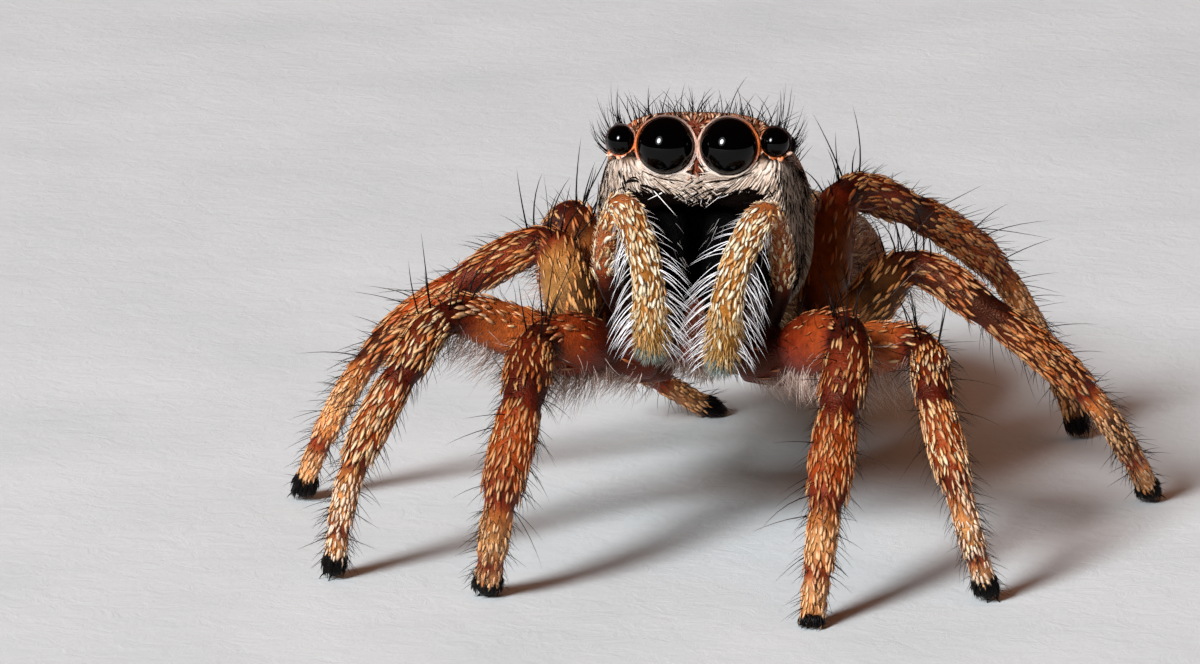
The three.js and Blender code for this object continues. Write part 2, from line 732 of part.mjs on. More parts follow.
/** The white fringe down both sides of a palp, longest in the middle. */
function palpHairs(surface) {
  const hairs = [];
  for (const side of Object.values(SIDES)) {
    for (let i = 0; i < PALP_FRINGE.count; i += 1) {
      const f = 0.12 + 0.86 * (i + 0.5) / PALP_FRINGE.count;
      const length = PALP_FRINGE.longest * (0.6 + 0.4 * Math.sin(Math.PI * f)) * between(0.9, 1.1);
      const facing = new THREE.Vector3(side, between(-0.4, 0.2), 0);
      hairs.push(hairOnLimb(surface, f, facing, 0.35, length, FRINGE));
    }
  }
  return hairs;
}

function addPalp(spider, sideName) {
  const points = PALP_LINE[sideName].map((place) => new THREE.Vector3(...place));
  const line = new THREE.CatmullRomCurve3(points, false, 'centripetal');
  const frames = framesAlong(line, 200);
  const femurSpan = stretch(line, 0, 2);
  const femur = limb(line, frames, ...femurSpan, (f) => threePoint(PALP_RADII.femur, f), 1, 10, 5);
  const shankSpan = stretch(line, 2, 4, 0);
  const roundTip = (f) => Math.sqrt(Math.max(1 - Math.max((f - 0.86) / 0.14, 0) ** 2, 0.03));
  const radius = (f) => roundTip(f) * threePoint(PALP_RADII.shank, f);
  const shank = limb(line, frames, ...shankSpan, radius, 1, 10, 10);
  addPart(spider, `palp_femur_${sideName}`, femur, COLOURS.palp);
  const mesh = addPart(spider, `palp_shank_${sideName}`, shank, COLOURS.palp);
  const [start, end] = shankSpan;
  hairy.push({ mesh, hairs: palpHairs({ line, start, end, radius }) });
}

// ---- Abdomen ------------------------------------------------------------------------

const abdomenWidth = profile([[0, 0.74], [0.15, 0.92], [0.42, 1], [0.71, 0.90], [1, 0.56]]);

function abdomenRing(f) {
  return {
    halfWidth: ABDOMEN_HALF_WIDTH * abdomenWidth(f),
    top: ABDOMEN_HALF_HEIGHT * abdomenWidth(f) - 0.08 * f,
    bottom: -ABDOMEN_HALF_HEIGHT * 0.92 * abdomenWidth(f) - 0.02 * f,
    squareness: 0.95,
    blunt: 0.52,
  };
}

/** A few long bristles on the abdomen, leaning back. */
function abdomenHairs() {
  const hairs = [];
  const { rings, each, lengths } = ABDOMEN_BRISTLES;
  for (let ring = 0; ring < rings; ring += 1) {
    const f = 0.06 + 0.84 * ring / (rings - 1);
    for (const turn of evenly(each, 1.25)) {
      const angle = turn + 0.25 * (ring % 2 ? 1 : -1);
      const middle = new THREE.Vector3(0, f * ABDOMEN_LENGTH, 0);
      const away = new THREE.Vector3(3 * Math.sin(angle), 0, 3 * Math.cos(angle));
      hairs.push(hairOnBody(ABDOMEN_LENGTH, abdomenRing, {
        outside: middle.clone().add(away),
        inside: middle,
        lie: new THREE.Vector3(0, f < 0.1 ? -0.3 : 1, 0),
        lift: 0.9,
        bend: -0.12,
        size: between(...lengths),
        kind: BRISTLE,
      }));
    }
  }
  return hairs;
}

function addAbdomen(spider) {
  const rear = new THREE.Group();
  rear.position.copy(ABDOMEN_FRONT);
  rear.rotation.set(-radians(ABDOMEN_DROOP), 0, -radians(ABDOMEN_YAW), 'ZYX');
  spider.add(rear);
  const bag = solid(bodyOfRings(ABDOMEN_LENGTH, abdomenRing, 24, 15))
    .trimByPlane([0, -1, 0], -(ABDOMEN_LENGTH - REAR_CUT));
  const waist = new THREE.CylinderGeometry(WAIST.radius, WAIST.radius, WAIST.length, 12);
  waist.translate(...WAIST.centre);
  const mesh = addPart(rear, 'abdomen', geometryOf(bag.add(solid(waist))), COLOURS.abdomen, 0.9);
  hairy.push({ mesh, hairs: abdomenHairs() });
  addSpinnerets(rear);
}

function addSpinnerets(rear) {
  const { length, radii, x, z, spread, height } = SPINNERETS;
  const base = new THREE.CylinderGeometry(...SPINNERET_BASE.radii, SPINNERET_BASE.length, 12);
  base.translate(0, SPINNERET_BASE.length / 2, 0);
  const pieces = [solid(base)];
  for (const side of Object.values(SIDES)) {
    for (const high of [1, -1]) {
      const cone = new THREE.CylinderGeometry(...radii, length, 8);
      cone.rotateZ(-side * spread);
      cone.rotateX(high * spread);
      cone.translate(side * x, length / 2, high * z);
      pieces.push(solid(cone));
    }
  }
  const tail = addPart(rear, 'spinnerets', geometryOf(joined(pieces)), COLOURS.abdomen, 0.9);
  tail.position.set(0, ABDOMEN_LENGTH - REAR_CUT + GAP, height);
}

// ---- The whole spider ---------------------------------------------------------------

const spider = new THREE.Group();
spider.add(head);
addCarapace();
addChelicerae();
addMouthparts();
addSternum();
for (const sideName of Object.keys(SIDES)) {
  addPalp(spider, sideName);
  for (const pair of [1, 2, 3, 4]) {
    addLeg(spider, pair, sideName);
  }
}
addAbdomen(spider);
growHair(spider);

// The origin is on the floor, under the middle of the space that the spider takes up.
spider.updateMatrixWorld(true);
const box = new THREE.Box3().setFromObject(spider, true);
const middle = box.getCenter(new THREE.Vector3());
spider.position.set(-middle.x, -middle.y, 0);

const part = new THREE.Group();
part.add(spider);
part.updateMatrixWorld(true);

export default part;
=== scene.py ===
# %% [markdown]
# # A jumping spider at life size
# The solids of a jumping spider, 8 mm long, are already built: one node for each part of the
# body, standing on eight feet. This lesson dresses them. It makes one skin over all the flesh,
# the eyes, the jaws and the claws, and then the coat of hairs, scales and bristles.
# Everything is small, so it is modelled in millimetres and scaled to metres at the very end.

import math

import bmesh
import bpy
import numpy as np
from mathutils import Matrix, Vector
from mathutils.bvhtree import BVHTree
from mathutils.kdtree import KDTree


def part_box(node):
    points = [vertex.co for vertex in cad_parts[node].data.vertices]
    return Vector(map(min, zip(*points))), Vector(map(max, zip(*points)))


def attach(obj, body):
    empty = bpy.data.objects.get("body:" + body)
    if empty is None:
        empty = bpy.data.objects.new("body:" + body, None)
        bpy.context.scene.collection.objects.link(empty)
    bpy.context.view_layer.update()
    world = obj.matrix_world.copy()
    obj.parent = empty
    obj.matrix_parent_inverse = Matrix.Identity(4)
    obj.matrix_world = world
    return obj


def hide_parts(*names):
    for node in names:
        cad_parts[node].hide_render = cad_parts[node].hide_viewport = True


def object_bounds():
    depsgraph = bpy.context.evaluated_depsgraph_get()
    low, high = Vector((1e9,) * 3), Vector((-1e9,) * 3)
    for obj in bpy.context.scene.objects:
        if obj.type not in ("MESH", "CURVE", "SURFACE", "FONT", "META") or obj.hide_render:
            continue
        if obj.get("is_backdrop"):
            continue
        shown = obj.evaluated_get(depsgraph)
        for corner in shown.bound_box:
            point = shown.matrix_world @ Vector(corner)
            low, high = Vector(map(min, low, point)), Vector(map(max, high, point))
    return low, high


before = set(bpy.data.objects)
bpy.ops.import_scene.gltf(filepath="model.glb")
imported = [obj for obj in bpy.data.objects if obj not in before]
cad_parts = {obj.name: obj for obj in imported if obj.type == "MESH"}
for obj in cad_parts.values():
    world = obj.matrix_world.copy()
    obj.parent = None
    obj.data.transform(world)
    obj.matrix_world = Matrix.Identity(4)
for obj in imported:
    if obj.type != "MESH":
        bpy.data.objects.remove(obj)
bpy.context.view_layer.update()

# %% [markdown]
# ## Sizes that everything follows
# These are the same driving sizes as the solids have: where the knees and feet stand, how long
# the leg parts are, and where the eyes sit. The spider's own frame has its origin on the floor
# under the face, with the face towards -Y and its left side towards +X. The head has a frame of
# its own inside that, tipped back by the pitch, because the face looks slightly upwards.

# %% Driving sizes
MM = 0.001
EYE_HEIGHT = 4.2
HEAD_PITCH = math.radians(15)
SIDES = {"left": 1, "right": -1}
EYES = {
    "front_middle": {"at": (0.306, 0.06, 0.0), "radius": 0.285},
    "front_side": {"at": (0.742, 0.15, 0.05), "radius": 0.15},
    "small": {"at": (0.80, 0.92, 0.14), "radius": 0.07},
    "rear": {"at": (0.76, 1.62, 0.09), "radius": 0.13},
}
EYE_PLACES = [  # pair, side's name, side, middle in the head's frame and radius of each eye
    (pair, name, side, np.array(eye["at"]) * (side, 1, 1), eye["radius"])
    for pair, eye in EYES.items() for name, side in SIDES.items()]
COAT_DEPTH = 0.035  # the skin lies this far inside the solids of the body
HEAD_AXES = np.array([
    [1, 0, 0],
    [0, math.cos(HEAD_PITCH), math.sin(HEAD_PITCH)],
    [0, -math.sin(HEAD_PITCH), math.cos(HEAD_PITCH)],
])  # row by row: where a place in the head's frame goes in the spider's frame
HEAD_ORIGIN = np.array([0, 0, EYE_HEIGHT])


def from_head(places):
    """Places in the head's frame, in the spider's frame."""
    return np.asarray(places, float) @ HEAD_AXES.T + HEAD_ORIGIN


def turn_from_head(directions):
    """Directions in the head's frame, in the spider's frame."""
    return np.asarray(directions, float) @ HEAD_AXES.T


def centre_of(node):
    """The middle of a solid's box, in the frame of the solids and in mm."""
    low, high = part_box(node)
    return np.array((low + high) / 2) / MM


front_eyes = [centre_of(f"eye_front_middle_{side}") for side in SIDES]
FRAME_ORIGIN = np.mean(front_eyes, axis=0) - from_head([0, *EYES["front_middle"]["at"][1:]])
print("the spider's origin in the frame, in mm:", FRAME_ORIGIN.round(3))


def to_frame(places):
    """Places in the spider's frame, in the frame of the solids and in metres."""
    return (np.asarray(places, float) + FRAME_ORIGIN) * MM


# %% [markdown]
# ## Objects and meshes
# Every form is built as a bmesh or from arrays of places, and a few small functions turn it into
# an object of the scene. The last of them finishes a piece: its material, the body that it rides
# on and the solids that it replaces.

# %% Helpers for objects
def put(name, data):
    """A new object in the scene."""
    made = bpy.data.objects.new(name, data)
    bpy.context.scene.collection.objects.link(made)
    return made


def direction(azimuth, elevation):
    """From the spider ahead, turned to its left and raised by angles in degrees."""
    a, e = math.radians(azimuth), math.radians(elevation)
    return Vector((math.sin(a) * math.cos(e), -math.cos(a) * math.cos(e), math.sin(e)))


def vertex_places(mesh):
    places = np.empty(len(mesh.vertices) * 3)
    mesh.vertices.foreach_get("co", places)
    return places.reshape(-1, 3)


def move_vertices(mesh, place):
    """Moves the vertices of a mesh by a function of their places."""
    mesh.vertices.foreach_set("co", place(vertex_places(mesh)).ravel())
    mesh.update()


def mesh_object(name, shape, place=None):
    """A bmesh as an object in the scene; place may move its vertices."""
    mesh = bpy.data.meshes.new(name)
    shape.to_mesh(mesh)
    shape.free()
    if place is not None:
        move_vertices(mesh, place)
    return put(name, mesh)


def colour_vertices(mesh, name, colours):
    """Keeps a linear colour for each vertex as a named attribute of the mesh."""
    layer = mesh.color_attributes.new(name, "FLOAT_COLOR", "POINT")
    layer.data.foreach_set("color", np.concatenate([colours, np.ones((len(colours), 1))], axis=1).ravel())


def apply_modifier(target, kind, **settings):
    """Adds a modifier and keeps its result as the object's mesh."""
    modifier = target.modifiers.new(kind.lower(), kind)
    for name, value in settings.items():
        setattr(modifier, name, value)
    dressed = target.evaluated_get(bpy.context.evaluated_depsgraph_get())
    result = bpy.data.meshes.new_from_object(dressed)
    target.modifiers.clear()
    old, target.data = target.data, result
    bpy.data.meshes.remove(old)


def dress(piece, material, slot, *nodes):
    """Finishes a piece: its material, the body that it rides on and the nodes it replaces; slot is not used.
    """
    piece.data.shade_smooth()
    piece.data.materials.clear()
    piece.data.materials.append(material)
    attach(piece, "root")
    if nodes:
        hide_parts(*nodes)


# %% [markdown]
# ## The camera
# The camera looks at the face from slightly to the spider's left and 13 degrees above the floor.
# A close-up of an animal this small is taken from about ten times its length away with a long
# lens, so the perspective is flat. The focal length follows from the distance and the scale.

# %% Camera
VIEW_AZIMUTH, VIEW_ELEVATION = 4, 13
VIEW_DISTANCE = 110            # mm from the face
PIXELS_PER_MM = 103            # at the eyes
IMAGE_WIDTH, IMAGE_HEIGHT = 1200, 664
EYES_IN_IMAGE = (697, 146)     # pixels from the upper left corner
SENSOR = 36                    # mm

towards_camera = direction(VIEW_AZIMUTH, VIEW_ELEVATION)
view_right = direction(VIEW_AZIMUTH + 90, 0)
view_up = towards_camera.cross(view_right)
across = (IMAGE_WIDTH / 2 - EYES_IN_IMAGE[0]) / PIXELS_PER_MM
down = (IMAGE_HEIGHT / 2 - EYES_IN_IMAGE[1]) / PIXELS_PER_MM
aim = Vector((0, 0, EYE_HEIGHT)) + across * view_right - down * view_up

camera_data = bpy.data.cameras.new("camera")
camera_data.sensor_width = SENSOR
camera_data.lens = SENSOR * PIXELS_PER_MM * VIEW_DISTANCE / IMAGE_WIDTH
camera_data.clip_start, camera_data.clip_end = 0.001, 5
camera = put("camera", camera_data)
turn = Matrix((view_right, view_up, towards_camera)).transposed().to_4x4()
spot = to_frame(aim + VIEW_DISTANCE * towards_camera)
camera.matrix_world = Matrix.Translation(spot) @ turn
bpy.context.scene.camera = camera
print("focal length in mm:", round(camera_data.lens))

# %% [markdown]
# ## Nodes and colours
# Every finish here is made of shader nodes. One small function adds a node, sets its own
# settings and fills its inputs with values or with the outputs of other nodes. Colours are
# written as the eye sees them, in sRGB, and turned to the linear values that light follows.

# %% Helpers for materials
def linear(colour):
    """A colour written as #rrggbb, as linear red, green and blue."""
    values = np.array([int(colour[i:i + 2], 16) for i in (1, 3, 5)]) / 255
    return np.where(values <= 0.04045, values / 12.92, ((values + 0.055) / 1.055) ** 2.4)


def add(tree, kind, settings=None, inputs=None):
    """Adds a node; inputs maps socket names or numbers to values or to outputs of other nodes."""
    made = tree.nodes.new("ShaderNode" + kind)
    for name, value in (settings or {}).items():
        setattr(made, name, value)
    for name, value in (inputs or {}).items():
        if isinstance(value, bpy.types.NodeSocket):
            tree.links.new(value, made.inputs[name])
        else:
            made.inputs[name].default_value = value
    return made


def rgba(colour):
    return (*linear(colour), 1)


def new_material(name):
    """An empty material: its tree, and its output node."""
    made = bpy.data.materials.new(name)
    made.use_nodes = True
    made.node_tree.nodes.clear()
    return made, made.node_tree, add(made.node_tree, "OutputMaterial")


def in_millimetres(tree):
    """Object coordinates counted in millimetres, so that pattern scales are per millimetre."""
    place = add(tree, "TexCoord")
    return add(tree, "Mapping", inputs={"Vector": place.outputs["Object"], "Scale": (1 / MM,) * 3}).outputs[0]


# %% [markdown]
# ## Floor and light
# A small animal shows best on pale rough paper. The floor is one large matt plane with a faint
# fibrous grain. A strong oval softbox stands in front, to the spider's right and above, which
# also draws the upright highlight in each eye. A wider and weaker one behind it softens the
# edges of the shadows. Warm weak ones overhead and behind, and a dim warm room, fill the
# shadows, so that these turn brown and not grey. The eyes stay black in their upper halves and
# mirror the pale floor in their lower ones. The plain sRGB view is used, because it keeps the
# reds and oranges of chitin as full as they are.

# %% Floor
FLOOR_SIZE = 900  # mm

floor_finish, tree, out = new_material("rough_paper")  # pressed fibres: matt, faintly mottled
where = in_millimetres(tree)
blotch = add(tree, "TexNoise", inputs={"Vector": where, "Scale": 0.35, "Detail": 3.0})
grain = add(tree, "TexNoise", inputs={
    "Vector": where, "Scale": 3.0, "Detail": 8.0, "Roughness": 0.66, "Distortion": 0.8})
tone = add(tree, "MapRange", inputs={"Value": blotch.outputs[0], "From Min": 0.3, "From Max": 0.7})
shade = add(tree, "Mix", {"data_type": "RGBA"}, {0: tone.outputs[0], 6: rgba("#c8cecd"), 7: rgba("#d2d7d6")})
relief = add(tree, "Bump", inputs={"Height": grain.outputs[0], "Strength": 0.30, "Distance": 0.045 * MM})
shader = add(tree, "BsdfPrincipled", inputs={
    "Base Color": shade.outputs[2], "Roughness": 0.9, "Specular IOR Level": 0.2, "Normal": relief.outputs[0]})
tree.links.new(shader.outputs[0], out.inputs[0])

shape = bmesh.new()
bmesh.ops.create_grid(shape, x_segments=1, y_segments=1, size=FLOOR_SIZE / 2 * MM)
floor = mesh_object("floor", shape)
floor.data.materials.append(floor_finish)
floor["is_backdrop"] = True

# %% Lights
# Azimuth and elevation, distance and size in mm, watts, colour, whether the eyes mirror it.
SOFTBOXES = {
    "key_softbox": (-29, 30, 600, (138, 200), 6.2, "#f6f9ff", True),
    "key_diffuser": (-29, 31, 606, (280, 370), 1.0, "#f8faff", True),
    "top_softbox": (20, 78, 220, (200, 200), 0.065, "#ffaa80", False),
    "back_softbox": (200, 40, 220, (160, 80), 0.04, "#ffd8c0", False),
}
LAMPS_AIM = np.array([0, 0.5, 2.5])  # about the spider's middle
ROOM_COLOUR, ROOM_STRENGTH = "#c05c3a", 0.056

for name, (azimuth, elevation, distance, size, watts, colour, mirrored) in SOFTBOXES.items():
    data = bpy.data.lights.new(name, "AREA")
    data.shape, (data.size, data.size_y) = "ELLIPSE", (size[0] * MM, size[1] * MM)
    data.energy, data.color = watts, linear(colour)
    out_there = direction(azimuth, elevation)
    spot = to_frame(LAMPS_AIM + distance * np.array(out_there))
    lamp = put(name, data)
    lamp.matrix_world = Matrix.Translation(spot) @ out_there.to_track_quat("Z", "Y").to_matrix().to_4x4()
    lamp.visible_glossy = mirrored

world = bpy.data.worlds.new("dim_room")
world.use_nodes = True
world.node_tree.nodes["Background"].inputs["Color"].default_value = rgba(ROOM_COLOUR)
world.node_tree.nodes["Background"].inputs["Strength"].default_value = ROOM_STRENGTH
bpy.context.scene.world = world
bpy.context.scene.view_settings.view_transform = "Standard"
print("lamps:", list(SOFTBOXES))

# %% [markdown]
# ## Smooth lines and body shapes
# A spider's body is a set of egg-like rings, and each limb is a round sweep along a line. Both
# are written as functions of a place along the form and an angle around it, so the same
# functions can shape the skin, carry its markings and say where each hair is rooted.

# %% Smooth curves
def profile(pairs):
    """A smooth curve through (place, value) pairs, read at any array of places."""
    xs, ys = np.array(pairs, float).T

    def at(place):
        i = np.clip(np.searchsorted(xs, place) - 1, 0, len(xs) - 2)
        before, after = np.maximum(i - 1, 0), np.minimum(i + 2, len(xs) - 1)
        x0, x1, y0, y1 = xs[i], xs[i + 1], ys[i], ys[i + 1]
        slope0 = (y1 - ys[before]) / (x1 - xs[before])
        slope1 = (ys[after] - y0) / (xs[after] - x0)
        f = np.clip((place - x0) / (x1 - x0), 0, 1)
        g = 1 - f
        return (y0 * g * g * (1 + 2 * f) + slope0 * (x1 - x0) * f * g * g
                + y1 * f * f * (3 - 2 * f) - slope1 * (x1 - x0) * f * f * g)
    return at


def signed_power(value, power):
    """A power of a value's size that keeps its sign."""
    return np.sign(value) * np.abs(value) ** power


def unit(vectors):
    """The same directions with length 1."""
    vectors = np.asarray(vectors, float)
    return vectors / np.maximum(np.linalg.norm(vectors, axis=-1, keepdims=True), 1e-12)


# %% Ring bodies
class Body:
    """An egg-like form along +Y: cross-sections of given half-width, top and bottom."""

    def __init__(self, length, half_width, top, bottom, squareness, blunt, inset=0.0):
        self.length, self.inset = length, inset
        self.half_width, self.top, self.bottom = half_width, top, bottom
        self.squareness, self.blunt = squareness, blunt

    def section(self, f):
        """Half-width, half-height, middle height and squareness of the section at f."""
        size = np.maximum(1 - (2 * f - 1) ** 2, 1e-6) ** (self.blunt(f) / 2)
        top, bottom = self.top(f), self.bottom(f)
        wide = np.maximum(size * self.half_width(f) - self.inset, 1e-3)
        high = np.maximum(size * (top - bottom) / 2 - self.inset, 1e-3)
        return wide, high, (top + bottom) / 2, self.squareness(f)

    def point(self, f, angle):
        """The place at f along the form and at an angle around it from its upper side."""
        wide, high, middle, square = self.section(f)
        x = wide * signed_power(np.sin(angle), square)
        z = middle + high * signed_power(np.cos(angle), square)
        y = self.inset + f * (self.length - 2 * self.inset)
        return np.stack(np.broadcast_arrays(x, y, z), axis=-1)


def constant(value):
    """A function that gives the same value everywhere."""
    return lambda f: np.full_like(np.asarray(f, float), value)


# %% Carapace
CARAPACE_LENGTH = 3.3


def along_carapace(pairs):
    """A smooth curve over the carapace, from (mm behind the face, value) pairs."""
    curve = profile(pairs)
    return lambda f: curve(f * CARAPACE_LENGTH)


carapace = Body(
    CARAPACE_LENGTH,
    along_carapace([(0, 0.96), (0.4, 0.98), (1.1, 1.03), (1.8, 1.05), (2.5, 0.91), (3.3, 0.53)]),
    along_carapace([(0, 0.43), (0.35, 0.41), (1.6, 0.28), (2.1, 0.10), (2.7, -0.40), (3.3, -1.0)]),
    along_carapace([(0, -0.60), (0.4, -1.2), (0.8, -1.6), (1.6, -1.66), (2.5, -1.64), (3.3, -1.5)]),
    lambda f: 0.62 + 0.23 * f,
    lambda f: 0.14 + 0.28 * f,
    inset=COAT_DEPTH,
)

# %% Abdomen
ABDOMEN_LENGTH = 4.1
ABDOMEN_HALF_WIDTH, ABDOMEN_HALF_HEIGHT = 1.32, 1.03
ABDOMEN_YAW, ABDOMEN_DROOP = math.radians(9), math.radians(5)
ABDOMEN_FRONT = np.array([0.02, 3.20, 1.90])
abdomen_share = profile([(0, 0.74), (0.15, 0.92), (0.42, 1), (0.71, 0.90), (1, 0.56)])
abdomen = Body(
    ABDOMEN_LENGTH,
    lambda f: ABDOMEN_HALF_WIDTH * abdomen_share(f),
    lambda f: ABDOMEN_HALF_HEIGHT * abdomen_share(f) - 0.08 * f,
    lambda f: -0.92 * ABDOMEN_HALF_HEIGHT * abdomen_share(f) - 0.02 * f,
    constant(0.95),
    constant(0.52),
    inset=1.6 * COAT_DEPTH,
)
ABDOMEN_AXES = np.array(
    Matrix.Rotation(-ABDOMEN_YAW, 3, "Z") @ Matrix.Rotation(-ABDOMEN_DROOP, 3, "X"))


def from_abdomen(places):
    """Places in the abdomen's frame, in the spider's frame."""
    return np.asarray(places, float) @ ABDOMEN_AXES.T + ABDOMEN_FRONT


def turn_from_abdomen(directions):
    """Directions in the abdomen's frame, in the spider's frame."""
    return np.asarray(directions, float) @ ABDOMEN_AXES.T


# %% [markdown]
# ## Limbs
# A leg's line runs through its joints: root, hip, middle of the femur, knee, then the ends of
# patella, tibia, metatarsus and tarsus. A centripetal Catmull-Rom curve passes through all of
# them without loops. Places along a limb are counted in joints, so 4.5 is the middle of the
# tibia, and every leg can share one table of thickness and one of colours.

# %% Lines through joints
def curve_through(points, t):
    """A centripetal Catmull-Rom curve through the points, read at t counted in points."""
    points = np.asarray(points, float)
    last = len(points) - 1
    padded = np.vstack([2 * points[0] - points[1], points, 2 * points[-1] - points[-2]])
    i = np.clip(np.floor(t).astype(int), 0, last - 1)
    w = (t - i)[:, None]
    p0, p1, p2, p3 = (padded[i + k] for k in range(4))
    d0, d1, d2 = (
        np.sqrt(np.linalg.norm(b - a, axis=1))[:, None] for a, b in ((p0, p1), (p1, p2), (p2, p3)))
    m1 = d1 * ((p1 - p0) / d0 - (p2 - p0) / (d0 + d1) + (p2 - p1) / d1)
    m2 = d1 * ((p2 - p1) / d1 - (p3 - p1) / (d1 + d2) + (p3 - p2) / d2)
    return (p1 + m1 * w + (3 * (p2 - p1) - 2 * m1 - m2) * w ** 2
            + (2 * (p1 - p2) + m1 + m2) * w ** 3)


# %% Limbs
class Limb:
    """A round sweep along a line, with a radius that depends on the place in joints."""

    STATIONS = 400

    def __init__(self, name, points, start, end, radius, tall=1.0):
        self.name, self.start, self.end = name, start, end
        self.u = np.linspace(start, end, self.STATIONS)
        self.centre = curve_through(points, self.u)
        self.tangent = unit(np.gradient(self.centre, axis=0))
        self.radius, self.tall = radius(self.u), tall
        steps = np.linalg.norm(np.diff(self.centre, axis=0), axis=1)
        self.length = np.concatenate([[0], np.cumsum(steps)])
        side = np.cross(self.tangent[0], (0, 0, 1))
        self.side, self.up = np.empty_like(self.centre), np.empty_like(self.centre)
        for k, tangent in enumerate(self.tangent):
            side = unit(side - tangent * (side @ tangent))
            self.side[k], self.up[k] = side, np.cross(side, tangent)

    def read(self, values, u):
        """Values given at the stations, read at any places u."""
        values = np.asarray(values)
        if values.ndim == 1:
            return np.interp(u, self.u, values)
        return np.stack([np.interp(u, self.u, values[:, k]) for k in range(values.shape[1])], axis=-1)

    def on(self, u, angle, lift=0.0):
        """Place, outward direction and direction along, at u and at an angle from the upper side."""
        side, up, tangent = (unit(self.read(v, u)) for v in (self.side, self.up, self.tangent))
        radius = self.read(self.radius, u) + lift
        tall = self.tall(u) if callable(self.tall) else self.tall
        out = side * np.sin(angle)[:, None] + up * (tall * np.cos(angle))[:, None]
        return self.read(self.centre, u) + out * radius[:, None], unit(out), tangent


# %% [markdown]
# The lower leg bends evenly from knee to foot. Its joints are found by trying bends until the
# chain just reaches the foot, the same way that the solids were built.

# %% How the legs stand
LEG_LENGTHS = {  # patella, tibia, metatarsus and tarsus of each pair
    1: (0.84, 1.02, 0.66, 0.52), 2: (0.78, 0.95, 0.70, 0.57),
    3: (0.90, 1.25, 1.08, 0.72), 4: (1.00, 1.50, 1.50, 0.90),
}
COXA_ROOT_X, COXA_END_X = (0.42, 0.47, 0.47, 0.36), (0.86, 1.10, 1.16, 0.98)
COXA_ROOT_Y, COXA_END_Y = (0.92, 1.36, 1.80, 2.22), (0.72, 1.28, 1.90, 2.52)
COXA_Z, COXA_RISE = -2.02, 0.06
UPWARD, FORWARD = (0, 0, 1), (0, -1, 0.22)
STANCE = {  # knee, foot and the way that the lower leg bows
    ("left", 1): ((1.52, -0.72, 2.46), (1.25, -2.38), FORWARD),
    ("left", 2): ((2.22, -0.25, 2.27), (2.92, -1.16), FORWARD),
    ("left", 3): ((1.98, 2.10, 2.56), (4.40, 3.00), (0.3, -1, 0.7)),
    ("left", 4): ((1.28, 2.95, 3.08), (3.62, 5.62), UPWARD),
    ("right", 1): ((-1.50, -0.55, 2.32), (-1.96, -1.26), FORWARD),
    ("right", 2): ((-2.42, -0.22, 2.50), (-3.50, -0.74), (-0.5, -1, 0.3)),
    ("right", 3): ((-1.60, 2.26, 2.70), (-4.13, 2.44), (0, -0.5, 1)),
    ("right", 4): ((-1.40, 2.98, 2.80), (-0.12, 6.34), (-1, 0, 0.2)),
}
LEG_TURNS = (0.8, 1.0, 0.45)   # how sharply the lower leg turns at its three inner joints
FEMUR_ARCH = 0.02
MIDDLE_OF_TIBIA = 4.5          # in joints from the root


def bent_chain(knee, foot, lengths, bow):
    """The joints of a lower leg that bends evenly from its knee to its foot."""
    along = foot - knee
    reach = np.linalg.norm(along)
    along = along / reach
    outward = unit(bow - along * np.dot(bow, along))

    def walk(bend):
        headings = -bend * np.concatenate([[0], np.cumsum(LEG_TURNS)])
        steps = np.stack([np.cos(headings), np.sin(headings)], axis=1) * np.array(lengths)[:, None]
        return np.vstack([[0, 0], np.cumsum(steps, axis=0)])

    low, high = 0.0, 1.6
    for _ in range(40):
        middle = (low + high) / 2
        low, high = (middle, high) if np.linalg.norm(walk(middle)[-1]) > reach else (low, middle)
    flat = walk(low)
    flat *= reach / np.linalg.norm(flat[-1])
    turn_back = -math.atan2(flat[-1][1], flat[-1][0])
    c, s = math.cos(turn_back), math.sin(turn_back)
    flat = flat @ np.array([[c, s], [-s, c]])
    return knee + flat[:, :1] * along + flat[:, 1:] * outward


# %% The eight legs
# Half-thickness of the bare leg along its joints, for a leg of average stoutness.
leg_radius = profile([
    (0, 0.17), (0.5, 0.185), (0.92, 0.165), (1.06, 0.135), (1.35, 0.19), (2.0, 0.225), (2.6, 0.20),
    (2.92, 0.175), (3.02, 0.155), (3.25, 0.185), (3.6, 0.195), (3.92, 0.175), (4.0, 0.16), (4.1, 0.172),
    (4.5, 0.182), (4.88, 0.160), (4.98, 0.128), (5.10, 0.128), (5.5, 0.125), (5.92, 0.118), (6.0, 0.104),
    (6.12, 0.110), (6.6, 0.100), (6.86, 0.086), (6.95, 0.05),
])
LEG_STOUTNESS = {1: 1.20, 2: 1.0, 3: 1.02, 4: 1.05}
FEMUR_TALLNESS = 1.16
LEG_TIP = 6.95                 # where the bare leg ends, just above the floor
leg_tallness = profile([(0, FEMUR_TALLNESS), (2.4, FEMUR_TALLNESS), (3.0, 1.0), (7.0, 1.0)])

legs = {}
for (side_name, pair), (knee, foot, bow) in STANCE.items():
    side, k = SIDES[side_name], pair - 1
    root = from_head([side * COXA_ROOT_X[k], COXA_ROOT_Y[k], COXA_Z])
    hip = from_head([side * COXA_END_X[k], COXA_END_Y[k], COXA_Z + COXA_RISE])
    knee, foot = np.array(knee), np.array([*foot, 0.0])
    femur_middle = (hip + knee) / 2 + (0, 0, FEMUR_ARCH)
    joints = [root, hip, femur_middle, *bent_chain(knee, foot, LEG_LENGTHS[pair], np.array(bow))]
    leg = Limb(
        f"leg_{pair}_{side_name}", joints, 0, LEG_TIP,
        lambda u, stout=LEG_STOUTNESS[pair]: stout * leg_radius(u), leg_tallness)
    legs[side_name, pair] = leg
    gap = leg.read(leg.centre, MIDDLE_OF_TIBIA) + FRAME_ORIGIN - centre_of(f"{leg.name}_tibia")
    print(leg.name, "tibia is off its solid's middle by", round(float(np.linalg.norm(gap)), 3), "mm")

